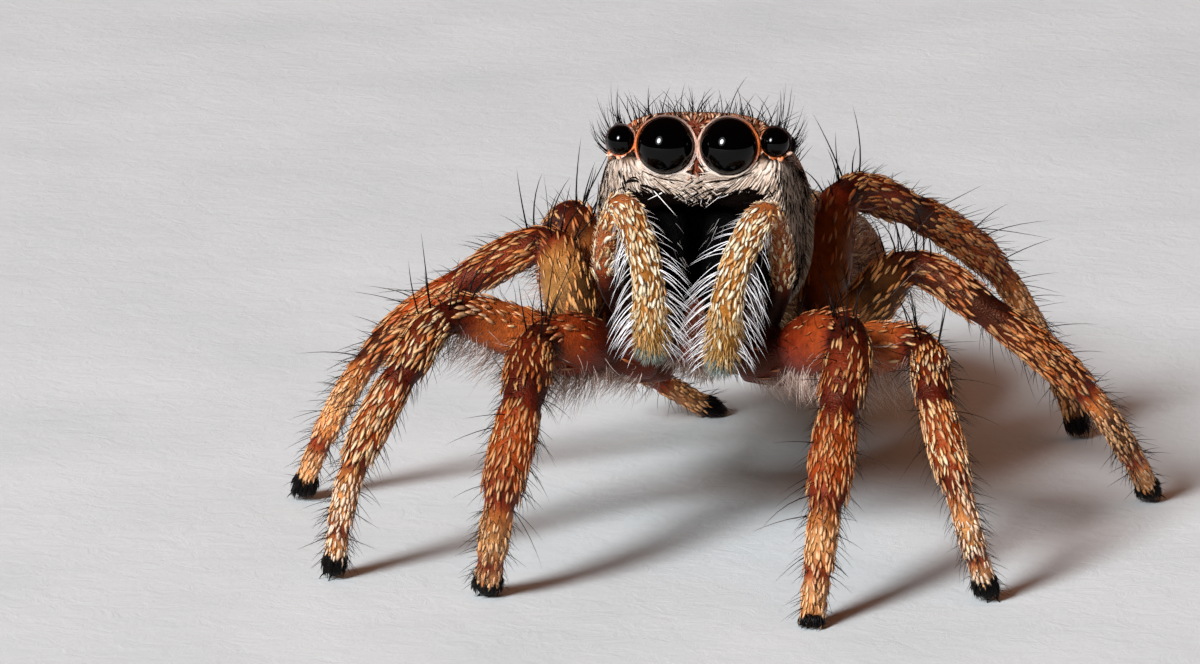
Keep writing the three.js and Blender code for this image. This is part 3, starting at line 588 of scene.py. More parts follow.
# %% [markdown]
# ## Palps
# The two palps are short feelers beside the mouth. Each rises from its root to a knee next to
# the face and then hangs down in front of the jaws. They are built as limbs too.

# %% Palps
PALP_JOINTS = {
    "left": [
        (0.60, 0.42, 2.16), (0.84, 0.04, 2.86), (0.69, -0.36, 3.60), (0.42, -0.58, 3.16),
        (0.25, -0.52, 2.06)],
    "right": [
        (-0.60, 0.42, 2.20), (-0.90, 0.04, 2.92), (-0.70, -0.36, 3.66), (-0.47, -0.58, 3.18),
        (-0.40, -0.52, 2.18)],
}
palp_radius = profile([
    (0, 0.10), (1.0, 0.108), (1.7, 0.122), (2.0, 0.142), (2.3, 0.15), (2.75, 0.15), (3.05, 0.145),
    (3.5, 0.160), (3.8, 0.150), (3.93, 0.110), (3.99, 0.04),
])
palps = {
    side: Limb(f"palp_{side}", joints, 0.3, 3.99, palp_radius) for side, joints in PALP_JOINTS.items()}
print("palp lengths in mm:", {side: round(float(palp.length[-1]), 2) for side, palp in palps.items()})

# %% [markdown]
# ## Markings
# Skin and coat carry the same markings, so the colours are functions that both ask. On a leg
# they are bands along the joints: dark red-brown at every joint, orange between them, paler
# towards the foot, and black at its very end. The hind femora are golden with dark patches,
# those of the second pair are orange, and those of the first pair are a dark red.

# %% Colour bands
def bands(stations):
    """A function that blends colours, given as {place in joints: '#rrggbb'}, along a limb."""
    places = np.array(list(stations))
    colours = np.array([linear(colour) for colour in stations.values()])
    return lambda u: np.stack([np.interp(u, places, colours[:, k]) for k in range(3)], axis=-1)


LOWER_LEG = {
    2.80: "#6a200c", 2.93: "#320b05", 3.08: "#340b05", 3.25: "#441006", 3.60: "#5c1d09", 3.86: "#481208",
    3.96: "#3c0c06", 4.08: "#4a1006", 4.22: "#742608", 4.50: "#84340c", 4.78: "#76280a", 4.93: "#581408",
    5.03: "#6a200a", 5.16: "#a05a28", 5.55: "#bc8450", 5.84: "#a66434", 5.95: "#782410", 6.05: "#8a3a18",
    6.20: "#bc8050", 6.60: "#c08652", 7.00: "#96481e",
}
UPPER_LEG = {  # of each pair of legs
    1: {0: "#3a0c04", 0.9: "#380a04", 1.1: "#400d04", 1.5: "#521205", 2.1: "#6c220a", 2.6: "#7e3210"},
    2: {0: "#4a1006", 0.9: "#541207", 1.1: "#701c0a", 1.5: "#984016", 2.1: "#a85424", 2.6: "#98481c"},
    3: {0: "#4c1a0a", 0.9: "#68280c", 1.2: "#8e5626", 1.9: "#a67640", 2.5: "#935f2c"},
    4: {0: "#3c1208", 0.9: "#56200b", 1.2: "#7a3e14", 1.9: "#965c22", 2.5: "#743c12"},
}
leg_bands = {pair: bands({**upper, **LOWER_LEG}) for pair, upper in UPPER_LEG.items()}
FOOT_BLACK, BLACK_FOOT_LENGTH = linear("#0b0807"), 0.27  # mm from the tip
WORN_FOOT, WORN_SHARE = "leg_1_left", 0.35
palp_bands = bands({  # painted shade: black at the roots, where they pass into the dark beside the mouth
    0: "#0e0605", 0.8: "#200a06", 1.0: "#5c2010", 1.2: "#8e4622", 1.7: "#a05a2c", 2.0: "#945026",
    2.4: "#8e5020", 3.0: "#865018", 3.5: "#8c581e", 3.78: "#906428", 3.90: "#62604a",
})


# %% Mixing colours
def speckle(places, scale, seed):
    """Smooth noise between 0 and 1 at any places: a sum of waves in random directions."""
    rng = np.random.default_rng(seed)
    waves = unit(rng.normal(size=(24, 3))) * scale * rng.uniform(0.6, 1.9, (24, 1))
    total = np.cos(np.asarray(places) @ waves.T + rng.uniform(0, 2 * np.pi, 24)).sum(axis=-1)
    return 0.5 + 0.5 * np.tanh(total / 4.2)


def blend(first, second, share):
    """Two colours or arrays of colours, mixed by a share between 0 and 1."""
    share = np.clip(np.asarray(share, float), 0, 1)[..., None]
    return np.asarray(first) * (1 - share) + np.asarray(second) * share


def ramp(value, low, high):
    """0 below low, 1 above high and smooth between them."""
    f = np.clip((np.asarray(value, float) - low) / (high - low), 0, 1)
    return f * f * (3 - 2 * f)


# %% Colours and edges of the markings
FACE_SKIN, HEAD_TOP, HEAD_SIDE, MOUTH_SHADE_BLACK = (
    linear(c) for c in ("#160e0a", "#3c1f11", "#4a382a", "#060404"))
HEAD_PATCHES, BETWEEN_EYES, THORAX_END, MASK_GROUND = (
    linear(c) for c in ("#7c4622", "#5c1c0c", "#241610", "#8e7662"))
ABDOMEN_GROUND, ABDOMEN_DARK, ABDOMEN_PALE = (linear(c) for c in ("#6e4426", "#2a170d", "#c59a62"))
UNDERSIDE, MOUTHPARTS, SPINNERETS, FEMUR_PATCHES = (
    linear(c) for c in ("#742a18", "#4a1408", "#3a2416", "#240c05"))

# Edges in the head's frame: heights of the mask's lower and upper edge by the distance from the
# middle, and half the width of the painted shade in the hollow under the cheeks by the depth below the eyes.
CLYPEUS_EDGE = profile([
    (0, -0.56), (0.1, -0.555), (0.18, -0.53), (0.33, -0.465), (0.48, -0.45), (0.66, -0.45), (0.8, -0.46)])
MASK_TOP = profile([(0, -0.27), (0.12, -0.25), (0.3, -0.2), (0.5, -0.14), (0.6, -0.125), (0.9, -0.12)])
HOLLOW_EDGE = profile([(0.70, 0.78), (0.95, 0.95), (1.12, 1.08), (1.47, 1.18), (1.7, 1.25)])


# %% Markings of the body
def in_shaded_hollow(places):
    """1 in the hollow between a palp and the pale edge of the cheek, where black is painted as shade, in the
    head's frame.
    """
    x, y, z = np.moveaxis(places, -1, 0)
    return ramp(HOLLOW_EDGE(-z) - np.abs(x), -0.01, 0.04) * ramp(-z, 0.72, 0.84) * ramp(1.7 - y, 0, 0.2)


def carapace_marking(places):
    """Skin colour of the carapace in the head's frame: black face, brown top, dusky sides, and black painted
    as shade in the mouth's hollow and the hollows under the cheeks.
    """
    x, y, z = np.moveaxis(places, -1, 0)
    mottle = speckle(places, 9, 3)
    colour = blend(HEAD_SIDE, HEAD_TOP, ramp(z, -0.25, 0.15))
    colour = blend(colour, HEAD_PATCHES, 0.6 * mottle * ramp(z, 0.0, 0.3))
    colour = blend(colour, FACE_SKIN, ramp(-y, -0.75, -0.45) * ramp(-z, -0.15, 0.05))
    across = np.abs(x)
    under_mask = ramp(MASK_TOP(across) - z, -0.01, 0.02) * ramp(z - CLYPEUS_EDGE(across), 0.06, 0.12)
    colour = blend(colour, MASK_GROUND, under_mask * ramp(-y, -0.9, -0.5))
    # painted shade: the mouth's hollow and the hollows under the cheeks are blackened
    in_mouth = ramp(0.72 - np.abs(x), 0, 0.06) * ramp(0.78 - y, 0, 0.06) * ramp(-z, 0.40, 0.46)
    colour = blend(colour, MOUTH_SHADE_BLACK, np.maximum(in_mouth, in_shaded_hollow(places)))
    between_eyes = ramp(0.16 - np.abs(x), 0, 0.06) * ramp(z, -0.29, -0.24) * ramp(-y, -0.4, -0.2)
    colour = blend(colour, BETWEEN_EYES, between_eyes)
    return blend(colour, THORAX_END, 0.6 * ramp(y, 1.9, 2.9))


def abdomen_pattern(f, angle):
    """How dark and how pale the abdomen is: a dark leaf with pale chevrons along the back."""
    across = np.abs(angle)
    wave = 0.5 + 0.5 * np.cos(2 * np.pi * (4.2 * f + 0.9 * across))
    leaf = ramp(0.62 + 0.16 * wave - 0.35 * f - across, -0.08, 0.12)
    chevrons = ramp(wave, 0.62, 0.9) * ramp(0.55 - across, 0, 0.2) * ramp(f, 0.25, 0.4)
    flanks = 0.6 * ramp(across, 1.5, 2.2)
    edge = 0.8 * np.exp(-((across - 1.05 + 0.3 * f) / 0.16) ** 2)
    return np.clip(leaf - chevrons, 0, 1), np.clip(chevrons + edge + flanks, 0, 1)


def abdomen_marking(places, f, angle):
    """Skin colour of the abdomen: its pattern over mottled brown."""
    dark, pale = abdomen_pattern(f, angle)
    mottle = speckle(places, 7, 5)
    colour = blend(ABDOMEN_GROUND, ABDOMEN_DARK, 0.35 * mottle)
    colour = blend(colour, ABDOMEN_DARK, 0.85 * dark)
    return blend(colour, ABDOMEN_PALE, 0.55 * pale * (0.6 + 0.4 * mottle))


# %% Markings of the legs
def black_length(leg):
    """How far the black of a foot reaches up, in mm; one foot has lost most of its brush."""
    return BLACK_FOOT_LENGTH * (WORN_SHARE if leg.name == WORN_FOOT else 1.0)


def black_foot(leg, u):
    """1 on the black end of a foot and 0 above it."""
    black = black_length(leg)
    return 1 - ramp(leg.length[-1] - np.interp(u, leg.u, leg.length), black - 0.05, black)


def leg_marking(leg, pair, u, angle, places):
    """Skin colour of a leg: bands, patches on the hind femora, soft mottling and a black foot."""
    mottle = speckle(places, 10, 7 + pair)
    colour = blend(leg_bands[pair](u), FOOT_BLACK, black_foot(leg, u))
    if pair > 2:
        colour = colour * (1 + 0.4 * ramp(u, 3.0, 3.3))[..., None]
        patches = ramp(speckle(places, 3.2, 20 + pair), 0.45, 0.75)
        colour = blend(colour, FEMUR_PATCHES, 0.85 * patches * ramp(u, 1.0, 1.4))
    return blend(colour * (0.75 + 0.5 * mottle[..., None]), UNDERSIDE, 0.3 * ramp(-np.cos(angle), 0.3, 1))


# %% [markdown]
# ## One skin
# The body's forms are first made apart: a ball reshaped into each ring body, and a circle that
# is extruded from station to station along each limb. A cut takes the mouth's hollow and the
# eye sockets out of the carapace. Then a voxel remesh welds them all into one closed skin, so
# that no seam shows where a leg meets the body, as on a real animal's cuticle. The remesh takes
# no voxel this fine in metres, which is one more reason to model in millimetres first.

# %% Forms of the skin
SWEEP_SIDES = 20


def ring_body(body, segments, rings):
    """A ball with its poles on the Y axis, reshaped into a ring body; f and angle of each vertex."""
    shape = bmesh.new()
    bmesh.ops.create_uvsphere(shape, u_segments=segments, v_segments=rings, radius=1)
    quarter = Matrix.Rotation(math.radians(-90), 3, "X")
    bmesh.ops.rotate(shape, cent=(0, 0, 0), matrix=quarter, verts=shape.verts)
    ball = np.array([v.co for v in shape.verts])
    f, angle = np.clip(0.5 + 0.5 * ball[:, 1], 0, 1), np.arctan2(ball[:, 0], ball[:, 2])
    at_pole = np.hypot(ball[:, 0], ball[:, 2]) < 1e-6
    places = body.point(f, angle)
    places[at_pole, 0] = 0
    places[at_pole, 2] = (body.top(f) + body.bottom(f))[at_pole] / 2
    for vertex, place in zip(shape.verts, places):
        vertex.co = place
    return shape, places, f, angle


def swept(limb, rings):
    """A limb as a circle extruded along its line, with u and angle of each vertex."""
    shape = bmesh.new()
    angles = np.linspace(0, 2 * np.pi, SWEEP_SIDES, endpoint=False)
    stations = np.linspace(limb.start, limb.end, rings)
    ring = bmesh.ops.create_circle(shape, segments=SWEEP_SIDES, radius=1)["verts"]
    edges = list(shape.edges)
    order, us, around = [], [], []
    for k, u in enumerate(stations):
        if k:
            made = bmesh.ops.extrude_edge_only(shape, edges=edges)["geom"]
            edges = [e for e in made if isinstance(e, bmesh.types.BMEdge)]
            new = [v for v in made if isinstance(v, bmesh.types.BMVert)]
            ring = [min(new, key=lambda v, old=old: (v.co - old).length) for old in spots]
        places, _, _ = limb.on(np.full(SWEEP_SIDES, u), angles)
        for vertex, place in zip(ring, places):
            vertex.co = place
        spots = [vertex.co.copy() for vertex in ring]
        order += ring
        us += [u] * SWEEP_SIDES
        around += list(angles)
    bmesh.ops.holes_fill(shape, edges=[e for e in shape.edges if e.is_boundary], sides=0)
    bmesh.ops.recalc_face_normals(shape, faces=shape.faces)
    return shape, np.array([v.co for v in order]), np.array(us), np.array(around)


# %% Carapace with its hollows
known_places, known_colours, known_forms = [], [], []


def know(form, places, colours):
    """Notes places of a form and their colours, from which the skin's are read later."""
    known_places.append(np.asarray(places))
    known_colours.append(np.asarray(colours))
    known_forms.extend([form] * len(places))


skin_pieces = []
shape, places, f, angle = ring_body(carapace, 72, 60)
whole_head = from_head(places), [tuple(v.index for v in face.verts) for face in shape.faces]
head_skin = mesh_object("head_skin", shape)

SOCKET_GAP = 0.012
cutter = bmesh.new()
for _, _, _, centre, radius in EYE_PLACES:
    bmesh.ops.create_uvsphere(
        cutter, u_segments=32, v_segments=20, radius=radius + SOCKET_GAP, matrix=Matrix.Translation(centre))
MOUTH_HALF_WIDTH, MOUTH_TOP, MOUTH_BOTTOM, MOUTH_FRONT, MOUTH_LENGTH = 0.64, -0.56, -2.3, -0.65, 1.32
mouth = Body(
    MOUTH_LENGTH, constant(MOUTH_HALF_WIDTH), constant(MOUTH_TOP), constant(MOUTH_BOTTOM),
    constant(0.6), constant(0.2))
hollow, _, _, _ = ring_body(mouth, 32, 20)
bmesh.ops.translate(hollow, verts=hollow.verts, vec=(0, MOUTH_FRONT, 0))
hollow_mesh = bpy.data.meshes.new("mouth_hollow")
hollow.to_mesh(hollow_mesh)
hollow.free()
cutter.from_mesh(hollow_mesh)
bpy.data.meshes.remove(hollow_mesh)
cutter_object = mesh_object("cutter", cutter)
apply_modifier(
    head_skin, "BOOLEAN", object=cutter_object, operation="DIFFERENCE", solver="EXACT", use_self=True)
bpy.data.objects.remove(cutter_object)
places = vertex_places(head_skin.data)
know("carapace", from_head(places), carapace_marking(places))
move_vertices(head_skin.data, from_head)
skin_pieces.append(head_skin)
print("carapace with hollows:", len(head_skin.data.vertices), "vertices")

# %% Abdomen, waist and spinnerets
shape, places, f, angle = ring_body(abdomen, 72, 56)
know("abdomen", from_abdomen(places), abdomen_marking(places, f, angle))
skin_pieces.append(mesh_object("abdomen_skin", shape, from_abdomen))

WAIST_START, WAIST_LENGTH, WAIST_RADIUS = (0, 0.12, -0.1), 0.9, 0.15
SPINNERET_LENGTH, SPINNERET_RADII, SPINNERET_SPREAD = 0.40, (0.10, 0.045), 0.12
SPINNERET_X, SPINNERET_Z, SPINNERET_LOW, SPINNERET_SUNK = 0.09, 0.08, 0.06, 0.06
SUNK_SHARE = 0.1  # of a peg's length that lies behind its start
pegs = [(WAIST_START, (0, -1, 0), WAIST_LENGTH, (WAIST_RADIUS, WAIST_RADIUS))]
for side in SIDES.values():
    for high in (1, -1):
        start = (side * SPINNERET_X, ABDOMEN_LENGTH - SPINNERET_SUNK, high * SPINNERET_Z - SPINNERET_LOW)
        towards = (side * SPINNERET_SPREAD, 1, high * SPINNERET_SPREAD)
        pegs.append((start, towards, SPINNERET_LENGTH, SPINNERET_RADII))
for start, towards, length, (thick, thin) in pegs:
    shape = bmesh.new()
    aimed = Vector(towards).to_track_quat("Z", "Y").to_matrix().to_4x4()
    middle = Vector(start) + (0.5 - SUNK_SHARE) * length * Vector(towards).normalized()
    bmesh.ops.create_cone(
        shape, cap_ends=True, segments=16, radius1=thick, radius2=thin, depth=length,
        matrix=Matrix.Translation(middle) @ aimed)
    piece = mesh_object("peg_skin", shape, from_abdomen)
    know("spinnerets", vertex_places(piece.data), np.tile(SPINNERETS, (len(piece.data.vertices), 1)))
    skin_pieces.append(piece)

# %% Sternum and mouthparts
UNDER_TOP, UNDER_BOTTOM = -1.74, -2.16
PLATES = {  # length, front, half-width at both ends
    "mouthparts": (0.56, 0.10, constant(0.38)),
    "sternum": (1.62, 0.78, lambda f: 0.13 + 0.14 * np.sin(np.pi * f)),
    "chest": (2.0, 0.60, lambda f: 0.40 + 0.30 * np.sin(np.pi * f)),
}
for name, (length, front, half_width) in PLATES.items():
    bottom = UNDER_BOTTOM + (0.22 if name == "chest" else 0)
    plate = Body(
        length, half_width, constant(UNDER_TOP + 0.3), constant(bottom), constant(0.85), constant(0.4))
    shape, places, f, angle = ring_body(plate, 32, 20)
    piece = mesh_object(f"{name}_skin", shape, lambda p, front=front: from_head(p + (0, front, 0)))
    under = vertex_places(piece.data)
    tint = MOUTHPARTS if name == "mouthparts" else UNDERSIDE
    know("under", under, tint * (0.8 + 0.4 * speckle(under, 9, 11)[:, None]))
    skin_pieces.append(piece)

# %% Legs and palps of the skin
LEG_RINGS, PALP_RINGS = 170, 60
for (side_name, pair), leg in legs.items():
    shape, places, u, angle = swept(leg, LEG_RINGS)
    know(leg.name, places, leg_marking(leg, pair, u, angle, places))
    skin_pieces.append(mesh_object(f"{leg.name}_skin", shape))
for palp in palps.values():
    shape, places, u, angle = swept(palp, PALP_RINGS)
    know(palp.name, places, palp_bands(u) * (0.85 + 0.3 * speckle(places, 12, 31)[:, None]))
    skin_pieces.append(mesh_object(f"{palp.name}_skin", shape))
print(len(skin_pieces), "forms to weld")

# %% [markdown]
# ## Welding and colouring
# The forms are joined, remeshed and eased with a few rounds of smoothing, which also takes the
# steps of the voxels away. Each vertex of the skin then takes the mean colour of the nearest
# vertices of the forms that it was made from. The colour is kept as an attribute of the mesh.

# %% Weld
VOXEL = 0.0402
SMOOTHING_ROUNDS = 3
SKIN_NODES = ["carapace", "abdomen", "spinnerets", "mouthparts", "sternum"]
SKIN_NODES += [f"palp_{part}_{side}" for side in SIDES for part in ("femur", "shank")]
LEG_PARTS = ("coxa", "femur", "patella", "tibia", "tarsus")
SKIN_NODES += [f"leg_{pair}_{side}_{part}" for side, pair in legs for part in LEG_PARTS]

whole = bmesh.new()
for piece in skin_pieces:
    whole.from_mesh(piece.data)
    bpy.data.objects.remove(piece)
skin = mesh_object("skin", whole)
apply_modifier(skin, "REMESH", mode="VOXEL", voxel_size=VOXEL, use_smooth_shade=True)
whole = bmesh.new()
whole.from_mesh(skin.data)
for _ in range(SMOOTHING_ROUNDS):
    bmesh.ops.smooth_vert(
        whole, verts=whole.verts, factor=0.5, use_axis_x=True, use_axis_y=True, use_axis_z=True)
whole.to_mesh(skin.data)
whole.free()

# %% Colours of the skin
known_places, known_colours = np.concatenate(known_places), np.concatenate(known_colours)
tree_of_known = KDTree(len(known_places))
for i, place in enumerate(known_places):
    tree_of_known.insert(place, i)
tree_of_known.balance()
NEIGHBOURS = 4
skin_places = vertex_places(skin.data)
colours = np.empty((len(skin_places), 3))
skin_forms = np.empty(len(skin_places), object)
for i, place in enumerate(skin_places):
    near = tree_of_known.find_n(place, NEIGHBOURS)
    skin_forms[i] = known_forms[near[0][1]]
    weights = np.array([1 / (distance + 1e-3) for _, _, distance in near])
    colours[i] = weights @ known_colours[[index for _, index, _ in near]] / weights.sum()
colour_vertices(skin.data, "Marking", colours)
move_vertices(skin.data, to_frame)
print("skin:", len(skin.data.polygons), "faces")

# %% [markdown]
# ## Cuticle
# A spider's skin is chitin, a hard translucent shell like thin amber. It is glossy in fine
# wrinkles, and light that enters a pale leg leaves it warmer. So the shader has a low sheen, a
# little light carried under the surface, and a relief of wrinkles a few hundredths of a
# millimetre apart.

# %% Cuticle material
cuticle, tree, out = new_material("chitin_cuticle")  # thin amber: glossy, wrinkled and a little translucent
where = in_millimetres(tree)
marking = add(tree, "Attribute", {"attribute_name": "Marking"})
mottle = add(tree, "TexNoise", inputs={"Vector": where, "Scale": 14.0, "Detail": 4.0, "Roughness": 0.6})
tone = add(tree, "MapRange", inputs={
    "Value": mottle.outputs[0], "From Min": 0.3, "From Max": 0.7, "To Min": 0.65, "To Max": 1.3})
tinted = add(tree, "VectorMath", {"operation": "SCALE"}, {
    0: marking.outputs["Color"], "Scale": tone.outputs[0]})
wrinkles = add(tree, "TexVoronoi", {"feature": "DISTANCE_TO_EDGE"}, {"Vector": where, "Scale": 26.0})
grain = add(tree, "TexNoise", inputs={"Vector": where, "Scale": 60.0, "Detail": 3.0})
height = add(tree, "Math", {"operation": "MULTIPLY_ADD"}, {
    0: wrinkles.outputs[0], 1: 1.2, 2: grain.outputs[0]})
relief = add(tree, "Bump", inputs={"Height": height.outputs[0], "Strength": 0.8, "Distance": 0.010 * MM})
gloss = add(tree, "MapRange", inputs={
    "Value": mottle.outputs[0], "From Min": 0.3, "From Max": 0.7, "To Min": 0.36, "To Max": 0.5})
shine = add(tree, "MapRange", inputs={  # black cuticle is dull: on the feet, and where the mouth's hollow is painted black as shade
    "Value": marking.outputs["Fac"], "From Max": 0.01, "To Min": 0.05, "To Max": 0.5})
shader = add(tree, "BsdfPrincipled", inputs={
    "Base Color": tinted.outputs[0], "Roughness": gloss.outputs[0], "IOR": 1.45, "Normal": relief.outputs[0],
    "Specular IOR Level": shine.outputs[0],
    "Specular Tint": rgba("#e0a884"),
    "Subsurface Weight": 0.22, "Subsurface Radius": (1.0, 0.36, 0.12), "Subsurface Scale": 0.09 * MM})
tree.links.new(shader.outputs[0], out.inputs[0])
dress(skin, cuticle, "leg_cuticle", *SKIN_NODES)

# %% [markdown]
# ## Eyes
# Each eye is one polished lens of clear chitin over a black retina, so from outside it is a
# black mirror. Only the front of the ball shows, because a thin raised rim closes round it, and
# the polish fades out towards that rim, where the lens is bedded in dark skin.

# %% Lenses
lens_finish, tree, out = new_material("polished_lens_chitin")  # clear over black: reads as black glass
polish = add(tree, "Attribute", {"attribute_name": "Polish"})
shader = add(tree, "BsdfPrincipled", inputs={
    "Base Color": rgba("#010101"), "Roughness": 0.025, "IOR": 1.27,
    "Specular IOR Level": polish.outputs["Fac"]})
tree.links.new(shader.outputs[0], out.inputs[0])

LOOKING = {
    "front_middle": (0, -1, 0), "front_side": (0.35, -1, 0.05), "small": (1, 0, 0.2), "rear": (1, 0, 0.2)}
LENS_GAP = 0.001
POLISH, POLISH_EDGE = 0.5, (0.90, 0.985)  # it fades between these distances from the axis, in radii


def looking(pair, side):
    """The direction that an eye looks in, in the head's frame."""
    return unit(np.array(LOOKING[pair]) * (side, 1, 1))


for pair, side_name, side, centre, radius in EYE_PLACES:
    shape = bmesh.new()
    bmesh.ops.create_uvsphere(shape, u_segments=64, v_segments=40, radius=radius - LENS_GAP)
    quarter = Matrix.Rotation(math.radians(90), 3, "X")
    bmesh.ops.rotate(shape, cent=(0, 0, 0), matrix=quarter, verts=shape.verts)
    off_axis = np.linalg.norm(np.cross(unit([v.co for v in shape.verts]), looking(pair, side)), axis=1)
    name = f"eye_{pair}_{side_name}"
    lens = mesh_object(f"{name}_lens", shape, lambda p, centre=centre: to_frame(from_head(p + centre)))
    layer = lens.data.attributes.new("Polish", "FLOAT", "POINT")
    layer.data.foreach_set("value", POLISH * (1 - ramp(off_axis, *POLISH_EDGE)))
    dress(lens, lens_finish, "eye", name)
print("lenses:", len(EYE_PLACES))

# %% Jaws
JAW_LENGTH, JAW_HALF_WIDTH, JAW_HALF_DEPTH = 1.24, 0.278, 0.25
JAW_X, JAW_Y, JAW_TOP = 0.285, 0.20, -0.62
jaw_finish, tree, out = new_material("black_jaw_chitin")  # thick, smooth and black, with fine cross-ridges
where = in_millimetres(tree)
ridges = add(tree, "TexNoise", inputs={"Vector": where, "Scale": 16.0, "Detail": 6.0, "Roughness": 0.7})
relief = add(tree, "Bump", inputs={"Height": ridges.outputs[0], "Strength": 1.0, "Distance": 0.03 * MM})
shader = add(tree, "BsdfPrincipled", inputs={
    "Base Color": rgba("#010101"), "Roughness": 0.42, "IOR": 1.10, "Normal": relief.outputs[0]})
tree.links.new(shader.outputs[0], out.inputs[0])
jaw = Body(
    JAW_LENGTH, lambda f: JAW_HALF_WIDTH - 0.05 * f, lambda f: JAW_HALF_DEPTH - 0.07 * f,
    lambda f: -JAW_HALF_DEPTH + 0.07 * f, constant(0.85), constant(0.30), inset=0.01)
for side_name, side in SIDES.items():
    shape, _, _, _ = ring_body(jaw, 40, 28)
    hanging = Matrix.Rotation(math.radians(-90), 4, "X")
    shape.transform(Matrix.Translation((side * JAW_X, JAW_Y, JAW_TOP)) @ hanging)
    piece = mesh_object(f"chelicera_{side_name}_shell", shape, lambda p: to_frame(from_head(p)))
    dress(piece, jaw_finish, "jaw", f"chelicera_{side_name}")
    print(piece.name, len(piece.data.vertices), "vertices")

# %% [markdown]
# ## How the coat is made
# The coat is thousands of small things: round bristles, fine hairs and flat scales. All of them
# are the same tapered strand with other widths and lengths, so one function joins any number
# of strands into a single mesh. Each strand is a few rings of points that end in a tip, set
# along a curve that starts under the skin. Each also gets a tiny patch of the texture map at its
# root's place on an unrolled chart of the skin, so that a texture bake can give it one colour.

# %% Charts of the skin
CHARTS = {"carapace": (0.0, 0.5, 0.5, 0.5), "face": (0.5, 0.75, 0.25, 0.25), "abdomen": (0.0, 0.0, 0.5, 0.5)}
CHARTS["palp_left"], CHARTS["palp_right"] = (0.75, 0.75, 0.12, 0.25), (0.88, 0.75, 0.12, 0.25)
CHARTS["under"] = (0.5, 0.5, 0.5, 0.25)
for k, leg in enumerate(legs.values()):
    CHARTS[leg.name] = (0.5 + 0.0625 * k, 0.0, 0.06, 0.5)
PATCH = 0.003


def chart(name, across, along):
    """The place on the unrolled skin, from shares across and along one of its parts."""
    left, bottom, width, height = CHARTS[name]
    return np.stack([left + width * np.clip(across, 0, 1), bottom + height * np.clip(along, 0, 1)], axis=-1)


# %% Strands
def hair_taper(f):
    """Thickness of a round hair along its length: it thins evenly to its tip."""
    return (1 - f) ** 0.7


def scale_taper(f):
    """Narrow at its stalk, widest before the middle and pointed at the end."""
    return np.sin(np.pi * (0.14 + 0.86 * f)) ** 0.75


def lock_taper(f):
    """A flat hair, widest before the middle, with a blunt root."""
    return (0.35 + 2.1 * f * (1 - f)) * (1 - f) ** 0.35


